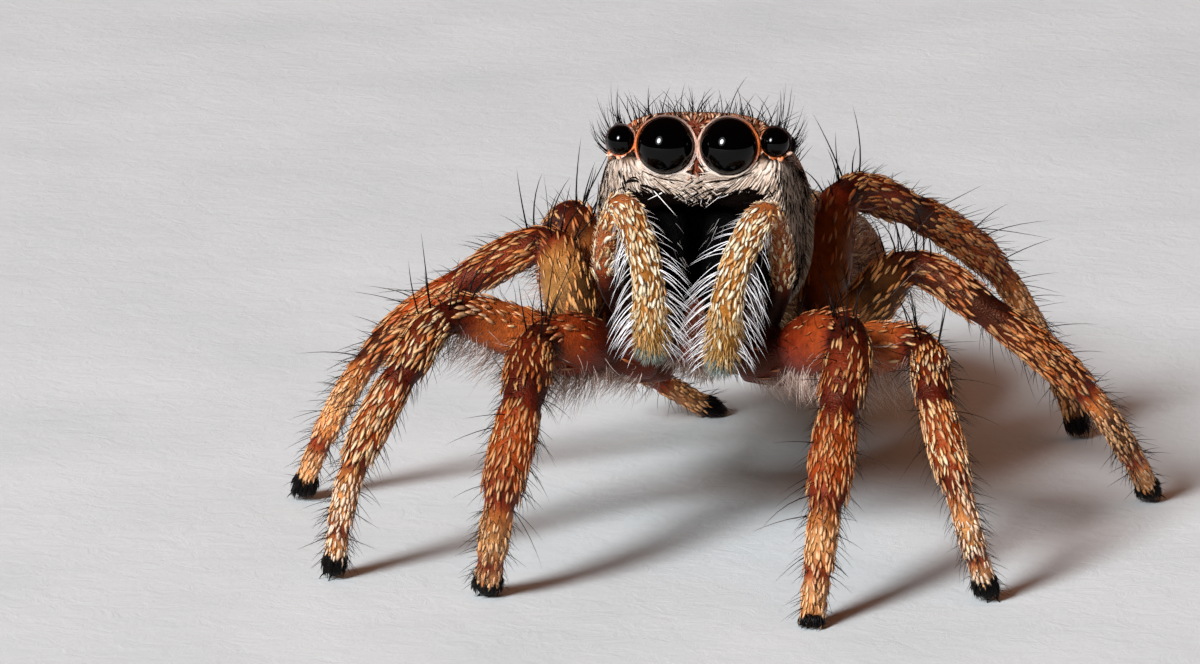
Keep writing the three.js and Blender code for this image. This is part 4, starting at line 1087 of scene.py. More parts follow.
class Strands:
    """Collects strands for one coat piece."""

    def __init__(self, sides=3, steps=4, taper=hair_taper, flat=1.0, sink=0.02):
        self.sides, self.steps, self.taper, self.flat, self.sink = sides, steps, taper, flat, sink
        self.parts = []

    def free(self, roots, along, length, bend=0.0):
        """Centre lines that leave their sunk roots straight and bend towards their tips."""
        f = np.linspace(0, 1, self.steps + 1)[None, :, None]
        along, length = unit(along)[:, None], np.broadcast_to(length, len(roots))[:, None, None]
        bend = np.broadcast_to(bend, roots.shape)[:, None]
        return roots[:, None] + along * (length * f - self.sink * (1 - f)) + bend * f ** 2

    def grow(self, lines, width, colour, uv, broad=None, tip=None):
        """Adds strands along centre lines; broad is the way a flat one faces, tip its end's colour."""
        n = len(lines)
        if n == 0:
            return
        f = np.linspace(0, 1, self.steps + 1)
        tangent = unit(np.gradient(lines, axis=1))
        broad = np.cross(tangent[:, 0], [0.31, 0.27, 0.91]) if broad is None else broad
        broad = unit(broad[:, None] - tangent * np.sum(tangent * broad[:, None], axis=-1, keepdims=True))
        thin = np.cross(tangent, broad)
        turns = np.arange(self.sides) * 2 * np.pi / self.sides
        out_there = (broad[:, :, None] * np.cos(turns)[:, None]
                     + self.flat * thin[:, :, None] * np.sin(turns)[:, None])
        size = np.broadcast_to(width, n)[:, None] * self.taper(f)[None]
        rings = (lines[:, :, None] + out_there * size[:, :, None, None])[:, :-1]
        places = np.concatenate([rings.reshape(n, -1, 3), lines[:, -1:]], axis=1)
        share = np.append(np.repeat(f[:-1], self.sides), 1.0)
        around = np.append(np.tile(np.arange(self.sides) / self.sides, self.steps), 0.5)
        tip = colour if tip is None else tip
        colour, tip = (np.broadcast_to(c, (n, 3))[:, None] for c in (colour, tip))
        towards_tip = np.sqrt(share)[None, :, None]
        colours = colour * (1 - towards_tip) + tip * towards_tip
        maps = uv[:, None] + PATCH * (np.stack([around, share], axis=-1) - 0.5)[None]
        self.parts.append((places, colours, maps))

    def stand(self, roots, along, length, bend, width, colour, uv, tip=None, margin=0.02):
        """Adds free strands, but none whose root or end is within a margin of the floor."""
        n, length = len(roots), np.asarray(length)
        ends = roots + unit(along) * length[:, None] + bend
        kept = np.minimum(ends, roots)[:, 2] > margin
        width, colour = np.broadcast_to(width, n), np.broadcast_to(colour, (n, 3))
        lines = self.free(roots, along, length, bend)
        self.grow(lines[kept], width[kept], colour[kept], uv[kept], tip=tip)

    def faces(self):
        """The triangles of one strand."""
        s, found = self.sides, []
        for k in range(self.steps - 1):
            for a in range(s):
                b = (a + 1) % s
                low, high = k * s, (k + 1) * s
                found += [(low + a, low + b, high + b), (low + a, high + b, high + a)]
        last, tip = (self.steps - 1) * s, self.steps * s
        found += [(last + a, last + (a + 1) % s, tip) for a in range(s)]
        found += [(0, a + 1, a) for a in range(1, s - 1)]
        return np.array(found)

    def finish(self, name, material, slot):
        """Joins all the strands into one object of the scene."""
        places, colours, maps = (np.concatenate([part[k] for part in self.parts]) for k in range(3))
        places[..., 2] = np.maximum(places[..., 2], 0)  # a hair that meets the floor lies on it
        n, each = places.shape[:2]
        corners = (self.faces()[None] + each * np.arange(n)[:, None, None]).reshape(-1, 3)
        mesh = bpy.data.meshes.new(name)
        mesh.vertices.add(n * each)
        mesh.vertices.foreach_set("co", to_frame(places).ravel())
        mesh.loops.add(corners.size)
        mesh.loops.foreach_set("vertex_index", corners.ravel())
        mesh.polygons.add(len(corners))
        mesh.polygons.foreach_set("loop_start", np.arange(0, corners.size, 3))
        mesh.update(calc_edges=True)
        colour_vertices(mesh, "Colour", colours.reshape(-1, 3))
        uvs = mesh.uv_layers.new(name="OFBake")
        uvs.data.foreach_set("uv", maps.reshape(-1, 2)[corners.ravel()].ravel())
        dress(put(name, mesh), material, slot)
        print(f"{name}: {n} strands, {len(corners)} triangles")


# %% [markdown]
# ## Roots on the skin
# On the body, hairs are rooted on the finished skin itself, so none floats or drowns. Random
# places are drawn on its faces, and thinned to one in each small cube of space, which spreads
# them evenly. A strand that lies on the skin is walked along it in small steps: at each step the
# nearest place of the skin is found, and the flow of the coat there gives the next direction.

# %% Scattering and laying
def skin_part(*forms):
    """The places of the skin, and the faces that came from the named forms."""
    return skin_places, [tuple(face.vertices) for face in skin.data.polygons
                         if all(skin_forms[v].startswith(forms) for v in face.vertices)]


class Ground:
    """A part of the skin as a place for hairs to grow."""

    def __init__(self, places, corners):
        self.tree = BVHTree.FromPolygons([tuple(place) for place in places], corners)
        fans = [(c[0], c[i], c[i + 1]) for c in corners for i in range(1, len(c) - 1)]
        self.triangles = places[np.array(fans)]
        first, second, third = np.moveaxis(self.triangles, 1, 0)
        facing = np.cross(second - first, third - first)
        self.area, self.facing = np.linalg.norm(facing, axis=1) / 2, unit(facing)

    def scattered(self, where, spacing, rng, crowd=7):
        """Even random roots where a function of place says so, and the skin's facing there."""
        chosen = np.flatnonzero(where(self.triangles.mean(axis=1)) & (self.area > 0))
        area = self.area[chosen]
        count = int(crowd * area.sum() / spacing ** 2)
        picks = rng.choice(chosen, count, p=area / area.sum())
        a, b = rng.random((2, count, 1))
        a, b = np.where(a + b > 1, 1 - a, a), np.where(a + b > 1, 1 - b, b)
        first, second, third = np.moveaxis(self.triangles[picks], 1, 0)
        roots = first + a * (second - first) + b * (third - first)
        _, kept = np.unique(np.floor(roots / spacing).astype(int), axis=0, return_index=True)
        kept = rng.permutation(kept)
        kept = kept[where(roots[kept])]
        return roots[kept], self.facing[picks[kept]]

    def laid(self, roots, flow, length, steps, lift=0.010, rise=0.02, sink=0.008):
        """Centre lines that follow a flow along the skin and rise from it towards their tips."""
        lines = np.empty((len(roots), steps + 1, 3))
        length = np.broadcast_to(length, len(roots))
        for i, (place, heading) in enumerate(zip(roots, flow(roots))):
            at, facing, _, _ = self.tree.find_nearest(Vector(place))
            heading = Vector(heading)
            for k in range(steps + 1):
                share = k / steps
                lines[i, k] = at + facing * (lift * min(1, 4 * share) + rise * share - sink * (k == 0))
                heading = (heading - facing * heading.dot(facing)).normalized()
                at, facing, _, _ = self.tree.find_nearest(at + heading * float(length[i] / steps))
        return lines


# %% Helpers for the coat
def to_head(places):
    """Places in the spider's frame, in the head's frame."""
    return (np.asarray(places) - HEAD_ORIGIN) @ HEAD_AXES


def picked(colours, rng, count, spread=0.12):
    """Random colours from a list of #rrggbb, each a little lighter or darker."""
    chosen = np.array([linear(c) for c in colours])[rng.integers(0, len(colours), count)]
    return chosen * rng.normal(1, spread, (count, 1)).clip(0.5, 1.4)


def sprinkled(colour, share, colours, rng):
    """Strand colours, of which a random share is taken from another list."""
    chosen = rng.random(len(colour)) < share
    return np.where(chosen[:, None], picked(colours, rng, len(colour)), colour)


head_ground = Ground(*skin_part("carapace"))
head_form = Ground(*whole_head)   # without sockets and mouth, so that hair passes over them

# %% [markdown]
# ## What the coat is made of
# Bristles are solid black chitin with a low gloss. Fine hairs and scales are hollow chitin full
# of air, which scatters the light, so they look white or cream and matt with a soft sheen. The
# long white hairs of the palps let the most light through. The dark gaps between the locks of
# the face are dark strands painted as black skin in shade, and dull, so that they never catch the light.

# %% Coat materials
def setae(name, roughness, sheen, through, index=1.42):
    """Hair chitin that takes its colour from the strand: its gloss, sheen and how light passes."""
    made, tree, out = new_material(name)
    colour = add(tree, "Attribute", {"attribute_name": "Colour"})
    shader = add(tree, "BsdfPrincipled", inputs={
        "Base Color": colour.outputs["Color"], "Roughness": roughness, "IOR": index,
        "Sheen Weight": sheen, "Sheen Roughness": 0.4,
        "Subsurface Weight": through, "Subsurface Radius": (1.0, 0.8, 0.6), "Subsurface Scale": 0.03 * MM})
    tree.links.new(shader.outputs[0], out.inputs[0])
    return made


bristle_chitin = setae("black_bristle_chitin", 0.35, 0.0, 0.0, index=1.25)  # a thin gloss line on black
scale_chitin = setae("air_filled_scale_chitin", 0.5, 0.0, 0.1)              # matt and cream
hair_chitin = setae("fine_hair_chitin", 0.5, 0.1, 0.1)                      # soft, with a pale edge
fringe_chitin = setae("white_fringe_hair_chitin", 0.35, 0.3, 0.3)           # white, bright against the light

# %% [markdown]
# ## Scales and bristles of the legs
# A leg is clad in pale lance-shaped scales, a tenth of a millimetre long, that lie along it
# like tiles with the brown skin between them. They are thick on the lower leg, sparse on the
# femur and missing at the dark joints. Black bristles stand out between the scales on all sides.

# %% Rows of scales on a limb
def tiles_on_limb(limb, rng, start, end, spacing_along, spacing_around, jitter=0.38):
    """Roots in shifted rows on a limb, as u and angle."""
    us, angles = [], []
    low, high = np.interp([start, end], limb.u, limb.length)
    for row, length in enumerate(np.arange(low, high, spacing_along)):
        u = np.interp(length, limb.length, limb.u)
        count = max(int(2 * np.pi * np.interp(u, limb.u, limb.radius) / spacing_around), 4)
        shifted = np.arange(count) + 0.5 * (row % 2) + rng.uniform(-jitter, jitter, count)
        angles.append(shifted * 2 * np.pi / count)
        shifted = np.clip(length + spacing_along * rng.uniform(-jitter, jitter, count), low, high)
        us.append(np.interp(shifted, limb.length, limb.u))
    u, angle = np.concatenate(us), np.concatenate(angles)
    return u, np.arctan2(np.sin(angle), np.cos(angle))


def limb_chart(limb, u, angle):
    """Places on a limb's unrolled skin, from u and angle."""
    return chart(limb.name, 0.5 + angle / (2 * np.pi), u / math.ceil(limb.end))


leg_scale_share = profile([
    (0, 0.05), (1.1, 0.05), (1.6, 0.10), (2.3, 0.25), (2.8, 0.5), (2.97, 0.2), (3.05, 0.3), (3.25, 0.74),
    (3.8, 0.72), (3.92, 0.08), (4.04, 0.2), (4.16, 0.92), (4.86, 0.95), (4.97, 0.35), (5.06, 0.5), (5.14, 1),
    (5.86, 1), (5.95, 0.3), (6.03, 0.4), (6.12, 1), (7, 1),
])

# %% Leg scales
SCALE_LENGTH, SCALE_HALF_WIDTH, SCALE_LIFT = 0.118, 0.0162, 0.16
SCALE_ROWS = (0.3, 6.9, 0.076, 0.044)  # from and to which joint, spacing along and around the leg
SCALE_COLOURS = [linear(c) for c in ("#f0ca92", "#eab884", "#dc9e5e", "#f4d8ac", "#cf7e3c")]
FOOT_SCALE = linear("#fae4cc")
SCALE_SHARE = {1: 0.7, 2: 1.0, 3: 0.8, 4: 0.7}  # of each pair of legs
SCALE_TINT = {
    1: (0.80, 0.62, 0.44), 2: (0.95, 0.92, 0.9), 3: (0.9, 0.68, 0.48), 4: (0.95, 0.66, 0.42)}
SPARSE_LEG, SPARSE_SHARE = "leg_2_left", 0.85
rng = np.random.default_rng(11)


def scale_share(leg, pair, u, angle):
    """How many of the tiles of a leg carry a scale."""
    share = leg_scale_share(u)
    femur = (u > 1) & (u < 2.9)
    on_top = (0.05 + 0.6 * share) * (0.2 + 2.0 * ramp(np.cos(angle), 0.0, 0.8))
    share = np.where(femur, on_top if pair <= 2 else np.maximum(share, 0.4), share) * SCALE_SHARE[pair]
    share = share * (SPARSE_SHARE if leg.name == SPARSE_LEG else 1.0)
    root, _, _ = leg.on(u, angle)
    clustered = 0.85 + 0.3 * ramp(speckle(root, 14, 80 + pair), 0.25, 0.75)
    return share * clustered * (1 - black_foot(leg, u))


leg_scales = Strands(sides=4, steps=3, taper=scale_taper, flat=0.34, sink=0.012)
for (_, pair), leg in legs.items():
    u, angle = tiles_on_limb(leg, rng, *SCALE_ROWS)
    kept = rng.random(len(u)) < scale_share(leg, pair, u, angle)
    u, angle = u[kept], angle[kept]
    femur, foot = (u > 1) & (u < 2.9), ramp(u, 4.9, 5.3)
    root, out_there, along = leg.on(u, angle)
    n = len(u)
    swerve = rng.normal(0, 0.16, (n, 1)) * np.cross(out_there, along)
    pick = rng.integers(0, len(SCALE_COLOURS), n)
    colour = np.array(SCALE_COLOURS)[pick] * rng.uniform(0.75, 1.1, (n, 1))
    pale = FOOT_SCALE * rng.uniform(0.8, 1.05, (n, 1))
    colour = blend(colour, pale, 0.75 * foot * (rng.random(n) < 0.8))
    like_skin = rng.uniform(0.0, 0.4, n) + 0.2 * femur + 0.15 * (pair != 2)
    colour = blend(colour * SCALE_TINT[pair], leg_bands[pair](u) * 1.6, like_skin)
    size = rng.uniform(0.65, 1.25, n) * (0.85 + 0.25 * (u < 5))
    lines = leg_scales.free(
        root, along + SCALE_LIFT * out_there + swerve, SCALE_LENGTH * size, -0.012 * out_there)
    width = SCALE_HALF_WIDTH * size * rng.uniform(0.75, 1.25, n) * (1 + 0.25 * foot)
    # painted shade: each scale darkens towards its root, where it tucks under its neighbours; less on the
    # feet
    leg_scales.grow(lines, width, (0.6 + 0.25 * foot)[:, None] * colour, limb_chart(leg, u, angle),
                    broad=np.cross(along, out_there), tip=colour)
leg_scales.finish("leg_scales", scale_chitin, "leg_cuticle")

# %% Leg bristles
BRISTLE_HALF_WIDTH = 0.0074
BLACK, DUSK = linear("#0c0908"), linear("#2a1a12")
LEG_BRISTLES = [  # how many, from and to which joint, shortest, longest, how far they lean along the leg
    (430, 2.9, 6.84, 0.08, 0.22, 0.7), (44, 2.6, 6.3, 0.2, 0.34, 0.55), (10, 2.7, 5.2, 0.36, 0.62, 0.5),
    (60, 1.2, 3.0, 0.10, 0.24, 0.7),
]
ON_TOP = 0.55  # how far round the leg those of the femur and the longest ones stand, as a share


def random_on_limb(limb, rng, count, start, end):
    """Even random roots on a limb between two places, as u and angle."""
    low, high = np.interp([start, end], limb.u, limb.length)
    return np.interp(rng.uniform(low, high, count), limb.length, limb.u), rng.uniform(-np.pi, np.pi, count)


bristles = Strands(steps=5)
for leg in legs.values():
    for count, start, end, shortest, longest, lean in LEG_BRISTLES:
        u, angle = random_on_limb(leg, rng, count, start, end)
        if start < 2 or longest > 0.5:
            angle = angle * ON_TOP
        root, out_there, along = leg.on(u, angle)
        length = rng.uniform(shortest, longest, count)
        spread = rng.normal(0, 0.22, (count, 3))
        heading = unit(out_there + lean * along + spread)
        bend = length[:, None] * (along * rng.uniform(0.15, 0.5, (count, 1)) + 0.4 * spread)
        width = BRISTLE_HALF_WIDTH * (0.42 + 0.9 * length)
        bristles.stand(root, heading, length, bend, width, BLACK, limb_chart(leg, u, angle), tip=DUSK)

# %% Knee bristles: a few long ones that stand up from the end of each femur
KNEE_BRISTLES, KNEE_BRISTLE_LENGTH = 8, 0.62
SKY = np.array([0, 0, 1.0])
for leg in legs.values():
    u = np.linspace(2.74, 3.26, KNEE_BRISTLES) + rng.uniform(-0.04, 0.04, KNEE_BRISTLES)
    angle = rng.uniform(-0.7, 0.7, KNEE_BRISTLES)
    root, out_there, along = leg.on(u, angle)
    heading = unit(0.8 * out_there + 0.9 * SKY + rng.normal(0, 0.14, (KNEE_BRISTLES, 3)))
    length = KNEE_BRISTLE_LENGTH * rng.uniform(0.45, 1.15, KNEE_BRISTLES)
    bend = length[:, None] * (rng.normal(0, 0.14, (KNEE_BRISTLES, 3)) - 0.22 * along)
    bristles.stand(
        root, heading, length, bend, 1.5 * BRISTLE_HALF_WIDTH, BLACK, limb_chart(leg, u, angle))
bristles.finish("leg_bristles", bristle_chitin, "leg_cuticle")

# %% [markdown]
# ## Fringes under the legs
# Long fine hair hangs under the coxae and femora. It is thick on the two fore pairs, a third as
# thick behind, and mixed from cream and dull brown, so that it reads as a soft haze.

# %% Leg fringes
FRINGE_HALF_WIDTH, FRINGE_PALE, FRINGE_DULL = 0.0032, linear("#d8c0b0"), linear("#7a5444")
LEG_FRINGES = (  # how many, from and to which joint, shortest and longest
    (420, 1.15, 2.95, 0.18, 0.46), (110, 0.2, 1.15, 0.12, 0.28))
fringe = Strands(steps=5)
for (_, pair), leg in legs.items():
    for count, start, end, shortest, longest in LEG_FRINGES:
        count = count if pair <= 2 else count // 3
        u, _ = random_on_limb(leg, rng, count, start, end)
        below = rng.normal(0, 0.5, count)
        root, out_there, along = leg.on(u, np.pi + below)
        length = rng.uniform(shortest, longest, count)
        heading = unit(out_there + 0.25 * along + rng.normal(0, 0.2, (count, 3)))
        bend = length[:, None] * (0.3 * along + rng.normal(0, 0.16, (count, 3)))
        colour = blend(FRINGE_PALE, FRINGE_DULL, rng.random(count) ** 1.2)
        fringe.stand(root, heading, length, bend, FRINGE_HALF_WIDTH, colour, limb_chart(leg, u, below))
fringe.finish("leg_fringes", hair_chitin, "leg_cuticle")

# %% [markdown]
# ## Feet
# A jumping spider grips with a dense black brush under two small claws at the end of each foot.
# One front foot here has lost most of its brush, so its black end is shorter.

# %% Claw tufts and claws
TUFT_HAIRS, TUFT_HALF_WIDTH, TUFT_END = 520, 0.0085, 6.94
CLAW_LENGTH, CLAW_HALF_WIDTH, CLAW_ANGLE, CLAW_ROOT = 0.10, 0.011, 0.5, 6.88
tufts = Strands(steps=3)
claws = Strands(sides=5, steps=6, sink=0.01)
for leg in legs.values():
    black = black_length(leg)
    tuft_start = float(np.interp(leg.length[-1] - black, leg.length, leg.u))
    u, angle = random_on_limb(leg, rng, TUFT_HAIRS, tuft_start, TUFT_END)
    root, out_there, along = leg.on(u, angle)
    length = rng.uniform(0.08, 0.15, TUFT_HAIRS) * (0.4 + 0.6 * black / BLACK_FOOT_LENGTH)
    above_tip = ((leg.length[-1] - np.interp(u, leg.u, leg.length)) / black)[:, None]
    stand = (0.1 + 0.75 * np.sqrt(above_tip)) * out_there
    heading = unit(stand + along + rng.normal(0, 0.10, (TUFT_HAIRS, 3)))
    bend = length[:, None] * (0.4 * along - (0.75 - 0.4 * above_tip) * out_there)
    tufts.stand(
        root, heading, length, bend, TUFT_HALF_WIDTH, BLACK, limb_chart(leg, u, angle), margin=0.002)
    root, out_there, along = leg.on(np.full(2, CLAW_ROOT), np.array([-CLAW_ANGLE, CLAW_ANGLE]))
    hook = 0.055 * along - 0.03 * out_there - (0, 0, 0.008)
    lines = claws.free(root, unit(out_there + 0.35 * along), CLAW_LENGTH, hook)
    claws.grow(lines, CLAW_HALF_WIDTH, BLACK, chart(leg.name, np.array([0.45, 0.55]), np.ones(2)))
tufts.finish("claw_tufts", bristle_chitin, "leg_cuticle")
claws.finish("claws", bristle_chitin, "leg_cuticle")

# %% [markdown]
# ## Palps
# The palps carry the same pale scales as the legs, only denser and yellower, and a fringe of
# long white hairs down both sides that curves towards the tip. Fine golden hair covers their
# ends, and only the very tip is grey-green. Their bare roots are painted black as shade, so that
# they sink into the dark beside the mouth.

# %% Palp scales
PALP_SCALE_LENGTH, PALP_SCALE_HALF_WIDTH = 0.100, 0.0195
PALP_SCALE_ROWS = (0.95, 3.86, 0.066, 0.038)
PALP_SCALE_COLOURS = [linear(c) for c in ("#e2d2b0", "#dcc49a", "#d0ac7a", "#eadabe", "#cc9254")]
palp_scales = Strands(sides=4, steps=3, taper=scale_taper, flat=0.36, sink=0.012)


def grow_palp_scales(palp):
    """Pale scales in rows, that thin out where the golden hair begins."""
    u, angle = tiles_on_limb(palp, rng, *PALP_SCALE_ROWS)
    root, _, _ = palp.on(u, angle)
    clustered = 0.75 + 0.5 * ramp(speckle(root, 16, 90), 0.25, 0.75)
    share = np.where(u > 1.8, 0.96, 0.62) * (1 - 0.85 * ramp(u, 3.45, 3.7)) * clustered
    kept = rng.random(len(u)) < share
    u, angle = u[kept], angle[kept]
    root, out_there, along = palp.on(u, angle)
    n = len(u)
    swerve = rng.normal(0, 0.30, (n, 1)) * np.cross(out_there, along)
    pick = rng.integers(0, len(PALP_SCALE_COLOURS), n)
    colour = np.array(PALP_SCALE_COLOURS)[pick] * rng.uniform(0.75, 1.1, (n, 1))
    size = rng.uniform(0.6, 1.25, n)
    stand = rng.uniform(0.12, 0.36, (n, 1)) * out_there
    lines = palp_scales.free(root, along + stand + swerve, PALP_SCALE_LENGTH * size, -0.014 * out_there)
    # painted shade: each scale darkens towards its root, where it tucks under its neighbours
    palp_scales.grow(lines, PALP_SCALE_HALF_WIDTH * size * rng.uniform(0.75, 1.15, n), 0.72 * colour,
                     limb_chart(palp, u, angle), broad=np.cross(along, out_there), tip=colour)


# %% Palp fringes
PALP_FRINGE_HAIRS, PALP_FRINGE_HALF_WIDTH = 62, 0.0064
FRINGE_WHITE, FRINGE_GREY = linear("#fefcfa"), linear("#8c8684")
PALP_FRINGE_LENGTH = profile([
    (2.0, 0.09), (2.4, 0.15), (2.8, 0.30), (3.3, 0.36), (3.7, 0.30), (3.95, 0.16)])
palp_fringe = Strands(steps=6)


def grow_palp_fringe(palp, side):
    """Long white hairs down one side of a palp, greyer towards its knee."""
    n = PALP_FRINGE_HAIRS
    u = 2.2 + 1.7 * rng.uniform(0, 1, n) ** 0.7
    _, _, along = palp.on(u, np.zeros(n))
    facing = np.array([side, 0.0, 0.0]) + rng.normal(0, [0.12, 0.34, 0.16], (n, 3))
    facing = unit(facing - along * np.sum(facing * along, axis=1, keepdims=True))
    root = palp.read(palp.centre, u) + facing * palp.read(palp.radius, u)[:, None] * 0.96
    length = PALP_FRINGE_LENGTH(u) * rng.uniform(0.75, 1.15, n)
    heading = unit(facing + rng.uniform(0.35, 0.75, (n, 1)) * along + rng.normal(0, 0.10, (n, 3)))
    bend = length[:, None] * (rng.uniform(0.30, 0.62, (n, 1)) * along + [0, -0.04, 0] - 0.06 * facing)
    greyed = np.maximum(rng.random(n) ** 3, 0.9 * ramp(2.75 - u, 0, 0.4))
    width = PALP_FRINGE_HALF_WIDTH * rng.uniform(0.7, 1.2, n)
    palp_fringe.stand(root, heading, length, bend, width, blend(FRINGE_WHITE, FRINGE_GREY, greyed),
                      limb_chart(palp, u, np.full(n, side * np.pi / 2)))


# %% Fine hair of the palps
PALP_SPINES, PALP_SPINE_HALF_WIDTH, WOOL_HALF_WIDTH = 46, 0.0045, 0.0055
PALP_WOOL = [  # how many, from and to which joint, shortest, longest, two colours that mix
    (340, 3.45, 3.90, 0.06, 0.12, "#c89c58", "#a87c40"),
    (240, 3.86, 3.985, 0.05, 0.09, "#8c9488", "#66746e"),
    (480, 1.0, 2.35, 0.03, 0.07, "#b87444", "#e8c8a4"),
]
palp_wool = Strands(steps=3, sink=0.015)


def grow_palp_wool(palp):
    """A few fine black spines, and short soft hair at both ends of the shank."""
    u, angle = random_on_limb(palp, rng, PALP_SPINES, 1.9, 3.8)
    root, out_there, along = palp.on(u, angle)
    length = rng.uniform(0.07, 0.16, PALP_SPINES)
    heading = unit(0.5 * out_there + along + rng.normal(0, 0.3, (PALP_SPINES, 3)))
    palp_wool.stand(root, heading, length, 0.2 * length[:, None] * along, PALP_SPINE_HALF_WIDTH, BLACK,
                    limb_chart(palp, u, angle))
    for count, start, end, shortest, longest, first, second in PALP_WOOL:
        u, angle = random_on_limb(palp, rng, count, start, end)
        root, out_there, along = palp.on(u, angle)
        length = rng.uniform(shortest, longest, count)
        heading = unit(out_there * 0.7 + 0.8 * along + rng.normal(0, 0.2, (count, 3)))
        colour = blend(linear(first), linear(second), rng.random(count))
        bend = length[:, None] * 0.3 * along
        palp_wool.stand(root, heading, length, bend, WOOL_HALF_WIDTH, colour, limb_chart(palp, u, angle))


for palp in palps.values():
    grow_palp_scales(palp)
    for side in SIDES.values():
        grow_palp_fringe(palp, side)
    grow_palp_wool(palp)
palp_scales.finish("palp_scales", scale_chitin, "palp_hair")
palp_fringe.finish("palp_fringes", fringe_chitin, "palp_hair")
palp_wool.finish("palp_wool", hair_chitin, "palp_hair")

# %% [markdown]
# ## The face
# A jumping spider's face is a mask of flat cream hairs over black skin. They flow down and
# inwards under the front eyes and meet in a point over the jaws, and on the cheeks they hang
# straight down. The flow is one function of the place on the head: how far each hair turns from
# level to hanging. The mask is made in layers. Short broad scales pave its smooth upper part,
# longer locks lie over them and hang past its lower edge, and dark slits, painted as the black skin in shade
# between the locks, show how they lie.

# %% Flow of the face
FLOW_UPPER = profile([  # degrees from level, by the distance from the head's middle
    (0, 44), (0.1, 36), (0.2, 22), (0.32, 8), (0.48, 28), (0.60, 48), (0.74, 72), (0.88, 86), (1.2, 92)])
FLOW_LOWER = profile([
    (0, 46), (0.1, 40), (0.2, 33), (0.35, 26), (0.5, 16), (0.64, 8), (0.76, 32), (0.86, 74), (1.2, 94)])


def face_flow(places):
    """Which way the hair of face and cheeks lies, at places in the spider's frame."""
    head = to_head(places)
    across, side = np.abs(head[:, 0]), np.where(head[:, 0] > 0, 1.0, -1.0)
    low = ramp(-head[:, 2], 0.30, 0.42)
    hang = np.radians(FLOW_UPPER(across) * (1 - low) + FLOW_LOWER(across) * low)
    hang = hang + 0.5 * (speckle(places, 7, 41) - 0.5)
    inwards = np.stack([-side * np.cos(hang), 0.25 * ramp(head[:, 1], 0.2, 0.6), -np.sin(hang)], axis=-1)
    return turn_from_head(inwards)


# %% Hair and the eyes
def clear_of_eyes(places, margin):
    """Which places are outside all the eyes by a margin."""
    head = to_head(places)
    clear = np.ones(head.shape[:-1], bool)
    for _, _, _, centre, radius in EYE_PLACES:
        clear &= np.linalg.norm(head - centre, axis=-1) > radius + margin
    return clear


def round_the_eyes(lines, margin=0.012):
    """Pushes centre lines sideways out of the eyes."""
    head = to_head(lines)
    for _, _, _, centre, radius in EYE_PLACES:
        reach = np.linalg.norm(head - centre, axis=-1, keepdims=True)
        head = head + (head - centre) / reach * np.maximum(radius + margin - reach, 0)
    return from_head(head)


def rooted(where, spacing, rng, margin=0.0):
    """Even random roots on the head, clear of the eyes, and the skin's facing there."""
    roots, facing = head_ground.scattered(where, spacing, rng)
    clear = clear_of_eyes(roots, margin)
    return roots[clear], facing[clear]


def across_lines(facing, lines):
    """The way that flat strands on the skin are broad."""
    return np.cross(facing, lines[:, 1] - lines[:, 0])


# %% Parts of the head
def is_face(places):
    """The masked part of the head: under the front eyes and down both cheeks."""
    x, y, z = np.moveaxis(to_head(places), -1, 0)
    across = np.abs(x)
    mask = (across < 0.78) & (z > CLYPEUS_EDGE(across)) & (z < MASK_TOP(across))
    cheek = (across > 0.72) & (z < MASK_TOP(across)) & (z > -1.62) & (y < 1.3)
    return (mask & (y < 0.5)) | cheek


def head_chart(places):
    """Places on the unrolled head: round it from its upper side, and along it."""
    x, y, z = np.moveaxis(to_head(places), -1, 0)
    front = y < 0.3
    round_it = chart("carapace", 0.5 + np.arctan2(x, z + 0.55) / (2 * np.pi), y / CARAPACE_LENGTH)
    return np.where(front[:, None], chart("face", 0.5 + x / 2.6, (z + 1.7) / 2.2), round_it)


# %% Paving of the mask
MASK_COLOURS = ("#ceb9a6", "#c0a994", "#a8907b", "#dccab8")
PAVING_SPACING = 0.034
rng = np.random.default_rng(23)


def is_paved(places):
    """The smooth upper part of the mask."""
    head = to_head(places)
    across = np.abs(head[:, 0])
    return is_face(places) & (head[:, 2] > CLYPEUS_EDGE(across) + 0.09) & (head[:, 1] < 0.8)


roots, facing = rooted(is_paved, PAVING_SPACING, rng)
n = len(roots)
paving = Strands(sides=4, steps=4, taper=scale_taper, flat=0.14)
lines = round_the_eyes(head_form.laid(roots, face_flow, rng.uniform(0.10, 0.16, n), 4, rise=0.014))
mean_colour = np.mean([linear(c) for c in MASK_COLOURS], axis=0)
# painted shade: each scale is darker at its root, where the ones above overlap it
paving.grow(lines, rng.uniform(0.019, 0.028, n), 0.8 * mean_colour, head_chart(roots),
            broad=across_lines(facing, lines), tip=picked(MASK_COLOURS, rng, n, 0.03))
paving.finish("face_scales", hair_chitin, "head_fur")

# %% Where the locks are rooted
LOCK_SPACING, LOCK_HALF_WIDTH = 0.037, 0.024
MASK_FRINGE = 0.05   # mm that the mask's tips hang below its edge
BARE_RIM = 0.055     # mm above the edge where no lock is rooted
MASK_END = 0.72      # distance from the head's middle where the mask becomes the cheek
CHEEK_GREY = linear("#b8a08a")


def bare_spots(head):
    """How bare the black skin is: a wedge under the left side eye, and the hollows under the cheeks, whose
    black is painted shade.
    """
    x, z = head[:, 0], head[:, 2]
    wedge = np.exp(-((x - 0.64) / 0.13) ** 2 - ((z + 0.345 - 0.38 * (x - 0.64)) / 0.042) ** 2)
    return np.clip(1.4 * wedge + in_shaded_hollow(head), 0, 1)


